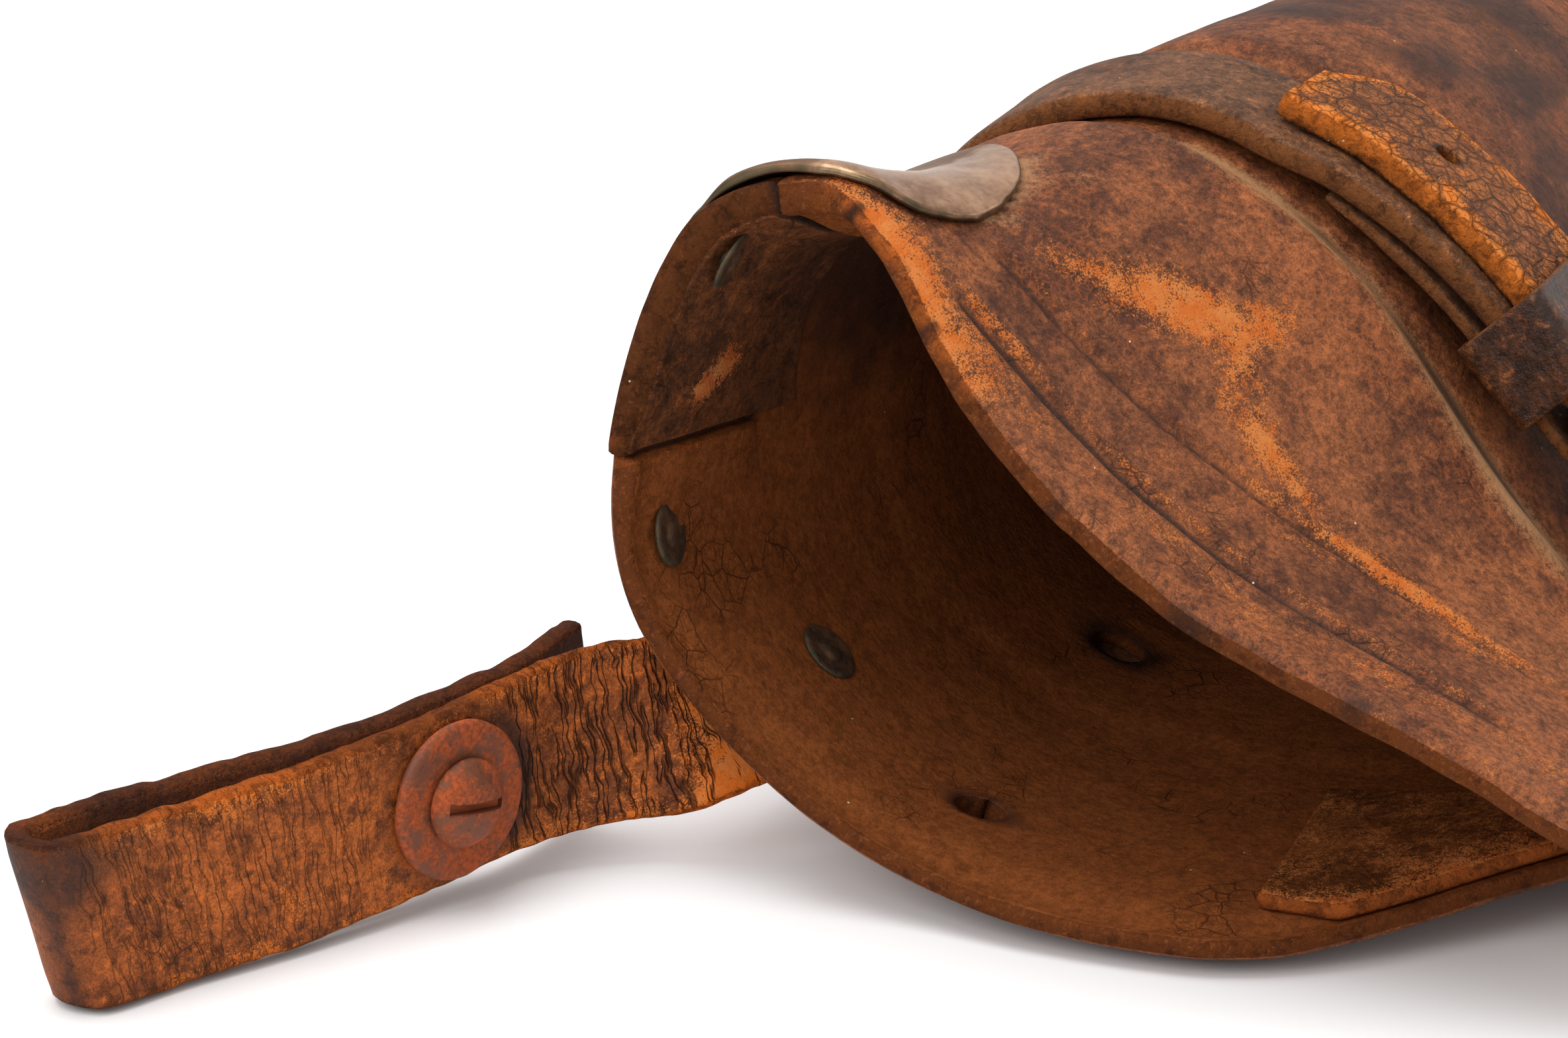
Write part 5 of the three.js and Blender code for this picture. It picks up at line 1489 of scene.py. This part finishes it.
def toe_plug():
    """Stacked leather turned to fit the toe's mouth, with a slightly dished face."""
    q = np.concatenate([np.linspace(1.6, 9, 90), np.linspace(9, 11.3, 26)[1:]])
    layers = np.linspace(PLUG_FROM, TOE_X - 2, 15)
    rims = [on_body(q, x, -SHEET - CLEAR - 0.15 - 0.2 * (k % 3 == 0)) for k, x in enumerate(layers)]
    back, face = rims[0], rims[-1]
    shares = [0.96, 0.85, 0.7, 0.5, 0.3, 0.12]
    centre_back, centre_face = back.mean(axis=0), face.mean(axis=0)
    inward_back = [centre_back + (back - centre_back) * s for s in shares]
    inward_face = [centre_face + (face - centre_face) * s for s in shares]
    for ring, s in zip(inward_face, shares):
        ring[:, 0] += noise(ring, 5, 131, 2) * 0.3 - 0.6 * (1 - s)
    rings = inward_back[::-1] + rims + inward_face
    points = np.concatenate(rings + [centre_back[None], centre_face[None] - [0.6, 0, 0]])
    faces = facing_out(points, capped(len(rings), len(q)))
    level = {"edge": 0.35, "dark": 0.4, "dust": 0.3}
    attributes = {key: np.full(len(points), value) for key, value in level.items()}
    make_object("toe_plug", points, faces, "scabbard", EDGE,
                {"rest": points, **attributes})


def toe_rivets():
    for k, q in enumerate(TOE_RIVETS):
        at, normal = body_frame(q, TOE_X - 8)
        profile = [(0, -SHEET - 6), (1.2, -SHEET - 6), (1.2, HEAD_SEAT), (3.2, HEAD_SEAT), (3.1, 0.7),
                   (2.2, 1.2), (1.1, 1.45), (0, 1.5)]
        lathe(f"toe_rivet_{k + 1}", profile, 28, at, normal, "scabbard", COPPER,
              rough=0.08, seed=140 + k)


# ---------- Hanging strap ----------
HANGER_FRONT = [
    (-71.5, 63.5, 20), (-76.5, 71, 18.9), (-82.5, 78, 17.8), (-89.8, 82.5, 16.8), (-100.6, 87.3, 15.8),
    (-111.4, 92.1, 14.9), (-123.8, 98.3, 13.8), (-135, 104.6, 13.2), (-146.5, 111.2, 12.8),
]
LOOP_CENTRE = np.array([-154, 119.5, 12.8])
LOOP_R = 4.6
HANGER_BACK = [
    (-141, 118.6, 13), (-130, 110, 13.8), (-119, 101.4, 15), (-109.7, 95.9, 15.5), (-98.9, 91.1, 16),
    (-88, 86.3, 16.8), (-79, 84.2, 17.2), (-65.5, 83.2, 17.5),
]
STUD_AT = 4  # place of the stud in each list
STUD_HOLE = 3.3
RIVET_HOLE = 2.3
SKEW = 6.5  # how much sooner the lower edge turns back at the loop


def hanger_line():
    lift = HANGER_THICK / 2 + CLEAR
    wall, normals = body_frame(np.array([9.33, 9.3, 9.3, 9.28]), np.array([-40, -46.5, -53, -60.0]))
    wall = wall + normals * lift
    wall_wide = unit(np.cross(normals[2], [1.0, 0, 0]))
    if wall_wide[2] < 0:
        wall_wide = -wall_wide
    angles = np.radians(np.linspace(225, 75, 6))
    loop = LOOP_CENTRE + LOOP_R * np.column_stack([np.cos(angles), np.sin(angles), 0 * angles])
    points = np.concatenate([wall, HANGER_FRONT, loop, HANGER_BACK])
    turn = smooth(0, 4, np.arange(len(points)) - 3.0)[:, None]
    wide = unit(lerp(wall_wide, np.array([0, 0, 1.0]), turn))
    return points, wide, np.array(HANGER_FRONT[STUD_AT], float), np.array(HANGER_BACK[STUD_AT], float)


def skewed(points, s, w, stud_front, stud_back, loop_s, reach):
    """The strap is folded a little askew between the stud's two holes."""
    share = np.minimum(smooth(stud_front + 8, loop_s - 4, s), 1 - smooth(loop_s + 4, stud_back - 8, s))
    along = unit(LOOP_CENTRE - np.array(HANGER_FRONT[STUD_AT], float))
    return points - along * (SKEW * share * (reach - w) / (2 * reach))[..., None]


def hanging_strap():
    points, wide, front, back = hanger_line()
    ribbon = Ribbon(points, wide, np.full(len(points), HANGER_THICK), flip=True)
    stud_front, stud_back = ribbon.nearest(front), ribbon.nearest(back)
    at_wall = ribbon.s[np.argmin(abs(ribbon.middle[:, 0] + 53))]
    loop_s = ribbon.s[np.argmin(ribbon.middle[:, 0])]
    stops = [np.arange(0.8, stud_front - 12, 0.42), np.arange(stud_front - 12, loop_s - 8, 0.6),
             np.arange(loop_s - 8, ribbon.length - 0.5, 0.8)]
    reach = HANGER_WIDTH / 2 - 0.8
    s, w, keep = strip_grid(np.concatenate(stops), np.linspace(-reach, reach, 27))
    for place, radius in ((stud_front, STUD_HOLE), (stud_back, STUD_HOLE), (at_wall, RIVET_HOLE)):
        s, w, keep = punched(s, w, keep, (place, 0.0), (radius, radius))
    flow = np.stack([s, w, 0 * s], axis=-1)
    ragged = ripple(s, 4.0, 151, np.sign(w) * 30) * 0.4
    spread = w + ragged * (abs(w) / reach) ** 4
    half = ribbon.half_thick(s)
    roll = smooth(0.72, 1.0, abs(w) / reach)
    wrinkled = band(s, at_wall + 6, at_wall + 16, stud_front - 12, stud_front - 7)
    light_wrinkles = 0.35 * band(s, stud_front + 12, stud_front + 22, loop_s - 8, loop_s)
    wander = flow + noise(flow, 5.0, 152, 2)[..., None] * np.array([1.6, 0, 0])
    waves = noise(wander * np.array([1.0, 0.09, 1]), 1.35, 153, 2)
    cut = -np.abs(waves) ** 0.6
    grooves = (cut + 0.45) * 0.5 * wrinkled + (cut + 0.4) * 0.22 * light_wrinkles
    loose = noise(flow, 12, 154, 2) * 0.25
    outer = ribbon.at(s, spread, half + grooves - 0.3 * roll + loose * 0.5)
    inner = ribbon.at(s, spread, -half + 0.2 * roll + loose * 0.3)
    outer, inner = (skewed(grid, s, w, stud_front, stud_back, loop_s, reach) for grid in (outer, inner))
    from_edge = reach - abs(w)
    edge = 0.8 * np.exp(-from_edge / 0.9)
    wear = 0.45 * np.exp(-from_edge / 2.0) + 0.3 * noise(outer, 13, 155, 2) + 0.15
    near_wall = bump_at(s, at_wall + 13, 8)
    wear = wear + 1.3 * near_wall + 0.35 * bump_at(s, stud_front + 30, 20) * bump_at(w, -2, 9)
    dark = 0.8 * np.exp(-abs(s - loop_s) / 9) + 0.25 * wrinkled * (1 - near_wall)
    dark = dark + 0.35 * smooth(0, 9, w) * smooth(loop_s - 40, loop_s - 10, s)
    dark = dark + 0.4 * smooth(loop_s + 6, loop_s + 24, s)
    # Painted shade: a darker ring on the strap round the washer's edge.
    dark = dark + 0.6 * bump_at(np.hypot(s - stud_front, w), 12.5, 3.0)
    lines = band(s, at_wall + 4, at_wall + 14, stud_front - 11, stud_front - 6)
    lines = lines + 0.45 * band(s, stud_front + 10, stud_front + 20, loop_s - 6, loop_s)
    masks = {
        "wear": (wear, wear),
        "dark": (dark, dark),
        "dust": (0.1, 0.1),
        "wrinkled": (lines, lines),
    }
    slab_object("hanging_strap", flattened(outer), flattened(inner), "hanger",
                HANGER, (s, w), masks, keep, bulge=0.2, rounds=4, edge_reach=edge)


SLOT_TILT = math.radians(-7)
SLOT_LENGTH = 9.4
SLOT_WIDTH = 1.4
SLOT_FLOOR = 3.9  # above the strap


def slot_cutter(face, axis):
    """The screwdriver slot's box: it runs across the head, a little off the level."""
    up = np.array([0, 0, 1.0])
    across = unit(np.cross(up, axis))
    along = across * math.cos(SLOT_TILT) + up * math.sin(SLOT_TILT)
    over = np.cross(axis, along)
    corners = itertools.product((-SLOT_LENGTH / 2, SLOT_LENGTH / 2), (-SLOT_WIDTH / 2, SLOT_WIDTH / 2),
                                (SLOT_FLOOR, SLOT_FLOOR + 4.1))
    points = np.array([face + along * a + over * b + axis * c for a, b, c in corners])
    faces = [(0, 1, 3, 2), (4, 6, 7, 5), (0, 4, 5, 1), (2, 3, 7, 6), (0, 2, 6, 4), (1, 5, 7, 3)]
    faces = facing_out(points, faces)
    mesh = bpy.data.meshes.new("slot_cutter")
    mesh.from_pydata((points * MM).tolist(), [], faces)
    obj = bpy.data.objects.new("slot_cutter", mesh)
    bpy.context.scene.collection.objects.link(obj)
    return obj


def ring_lathe(name, profile, sides, at, axis, seed):
    """A turned ring, whose profile closes on itself."""
    fine = refined(profile + [profile[0]], 0.5)[:-1]
    around, grid = turned(fine, axis, sides)
    centre = fine.mean(axis=0)
    out = unit(grid - (centre[0] * around + centre[1] * axis))
    points = (grid + out * (noise(grid + 50, 2.0, seed, 2) * 0.12)[..., None]).reshape(-1, 3)
    faces = facing_out(points, woven(len(fine), sides, True, True))
    points = points + np.array(at, float)
    attributes = {"rest": points, "edge": rounded_edge(np.repeat(fine[:, 0], sides))}
    make_object(name, points, faces, "hanger", RUST, attributes)


def stud():
    _, _, front, back = hanger_line()
    axis = front - back
    axis[2] = 0
    axis = unit(axis)
    face = front + axis * HANGER_THICK / 2
    rear = back - axis * HANGER_THICK / 2
    depth = float((face - rear) @ axis)
    washer = [(3.2, 0.4), (10.9, 0.4), (11.3, 0.7), (11.3, 1.3), (10.9, 1.75), (10.3, 1.9), (8.2, 1.8),
              (6.8, 1.75), (3.2, 1.8)]
    ring_lathe("stud_washer", washer, 72, face, axis, 161)
    nut = [(3.1, -depth - 0.5), (3.1, -depth - 2.6), (3.6, -depth - 2.7), (7.2, -depth - 2.7),
           (8, -depth - 2), (8, -depth - 0.8), (7.8, -depth - 0.5)]
    ring_lathe("stud_nut", nut, 48, face, axis, 162)
    end = -depth - 3.6
    profile = [(0, end), (2.3, end), (2.7, end + 0.4), (2.7, 2.25), (6.0, 2.25), (6.3, 2.45), (6.3, 3.0),
               (5.9, 3.7), (4.8, 4.55), (3.5, 5.1), (2.0, 5.45), (0, 5.6)]
    screw = lathe("stud_screw", profile, 56, face, axis, None, RUST, rough=0.07, seed=163)
    cutter = slot_cutter(face, axis)
    slotted = screw.modifiers.new("slot", "BOOLEAN")
    slotted.object = cutter
    slotted.operation = "DIFFERENCE"
    slotted.solver = "EXACT"
    settled = bpy.data.meshes.new_from_object(screw.evaluated_get(bpy.context.evaluated_depsgraph_get()))
    screw.modifiers.clear()
    screw.data = settled
    bpy.data.objects.remove(cutter)
    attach(screw, "hanger")


# ---------- Floor, light and camera ----------
FLOOR_SIDE = 6.0  # metres, each way from the middle
FLOOR_DROP = 0.0003


def stage():
    mesh = bpy.data.meshes.new("floor")
    corners = [(x * FLOOR_SIDE, y * FLOOR_SIDE, 0) for x, y in ((-1, -1), (1, -1), (1, 1), (-1, 1))]
    mesh.from_pydata(corners, [], [(0, 1, 2, 3)])
    floor = bpy.data.objects.new("floor", mesh)
    floor.location.z = -FLOOR_DROP
    bpy.context.scene.collection.objects.link(floor)
    g = Graph("floor")
    spot = g.node("ShaderNodeTexCoord").outputs["Object"]
    mottle = g.noise(0.25, 2.0, 0.5, spot)
    tone = g.mix(g.range(mottle, 0.3, 0.7), (0.86, 0.86, 0.87), (0.9, 0.9, 0.9))
    g.finish(tone, g.range(mottle, 0.3, 0.7, 0.6, 0.7), mottle, Specular_IOR_Level=0.2)
    mesh.materials.append(g.material)


SKY_COLOUR = (1.0, 0.99, 0.975, 1)
SKY_STRENGTH = 0.8
# Name, place and aim in metres, size in metres, power in watts.
LIGHTS = [
    ("top_light", (-0.15, 0.35, 1.3), (0.0, 0.0, 0.03), (1.2, 0.9), 14),
    ("side_light", (-1.1, 0.35, 0.75), (-0.05, 0.0, 0.04), (0.7, 0.7), 6),
    ("front_light", (0.5, -1.1, 0.7), (0.0, 0.0, 0.05), (0.9, 0.9), 4),
]


def area_light(name, place, aim, size, power):
    light = bpy.data.lights.new(name, "AREA")
    light.shape = "RECTANGLE"
    light.size, light.size_y = size
    light.energy = power
    obj = bpy.data.objects.new(name, light)
    obj.location = place
    obj.rotation_euler = (Vector(aim) - Vector(place)).to_track_quat("-Z", "Y").to_euler()
    bpy.context.scene.collection.objects.link(obj)


def lights():
    world = bpy.data.worlds.new("studio")
    world.use_nodes = True
    background = world.node_tree.nodes["Background"]
    background.inputs["Color"].default_value = SKY_COLOUR
    background.inputs["Strength"].default_value = SKY_STRENGTH
    bpy.context.scene.world = world
    for name, place, aim, size, power in LIGHTS:
        area_light(name, place, aim, size, power)
    bpy.context.scene.view_settings.view_transform = "Standard"
    bpy.context.scene.view_settings.look = "None"


CAMERA_AIM = (-0.079, 0.046, 0.054)  # metres
CAMERA_TURN = 22.0  # degrees from the object's own length
CAMERA_HEIGHT = 19.0  # degrees above the level
CAMERA_DISTANCE = 1.0  # metres
CAMERA_LENS = 169.36
SENSOR_WIDTH = 36.0


def camera():
    data = bpy.data.cameras.new("camera")
    data.lens = CAMERA_LENS
    data.sensor_width = SENSOR_WIDTH
    obj = bpy.data.objects.new("camera", data)
    turn, height = math.radians(CAMERA_TURN), math.radians(CAMERA_HEIGHT)
    level = math.cos(height)
    forward = Vector((level * math.cos(turn), level * math.sin(turn), -math.sin(height)))
    obj.location = Vector(CAMERA_AIM) - forward * CAMERA_DISTANCE
    obj.rotation_mode = "QUATERNION"
    obj.rotation_quaternion = forward.to_track_quat("-Z", "Y")
    bpy.context.scene.collection.objects.link(obj)
    bpy.context.scene.camera = obj


# ---------- Assembly ----------
camera()
stage()
lights()
body_shell()
throat_guard()
throat_lining()
seam_patch()
seam_welt()
seam_thread("seam_thread_upper", THREAD_Q)
seam_thread("seam_thread_lower", LAST - THREAD_Q)
rivets()
toe_plug()
toe_rivets()
hanging_strap()
stud()
for side in SIDES:
    body_strap(side)
    strap_end(side)
    keeper(side)
    buckle_frame(side)
    buckle_tongue(side)
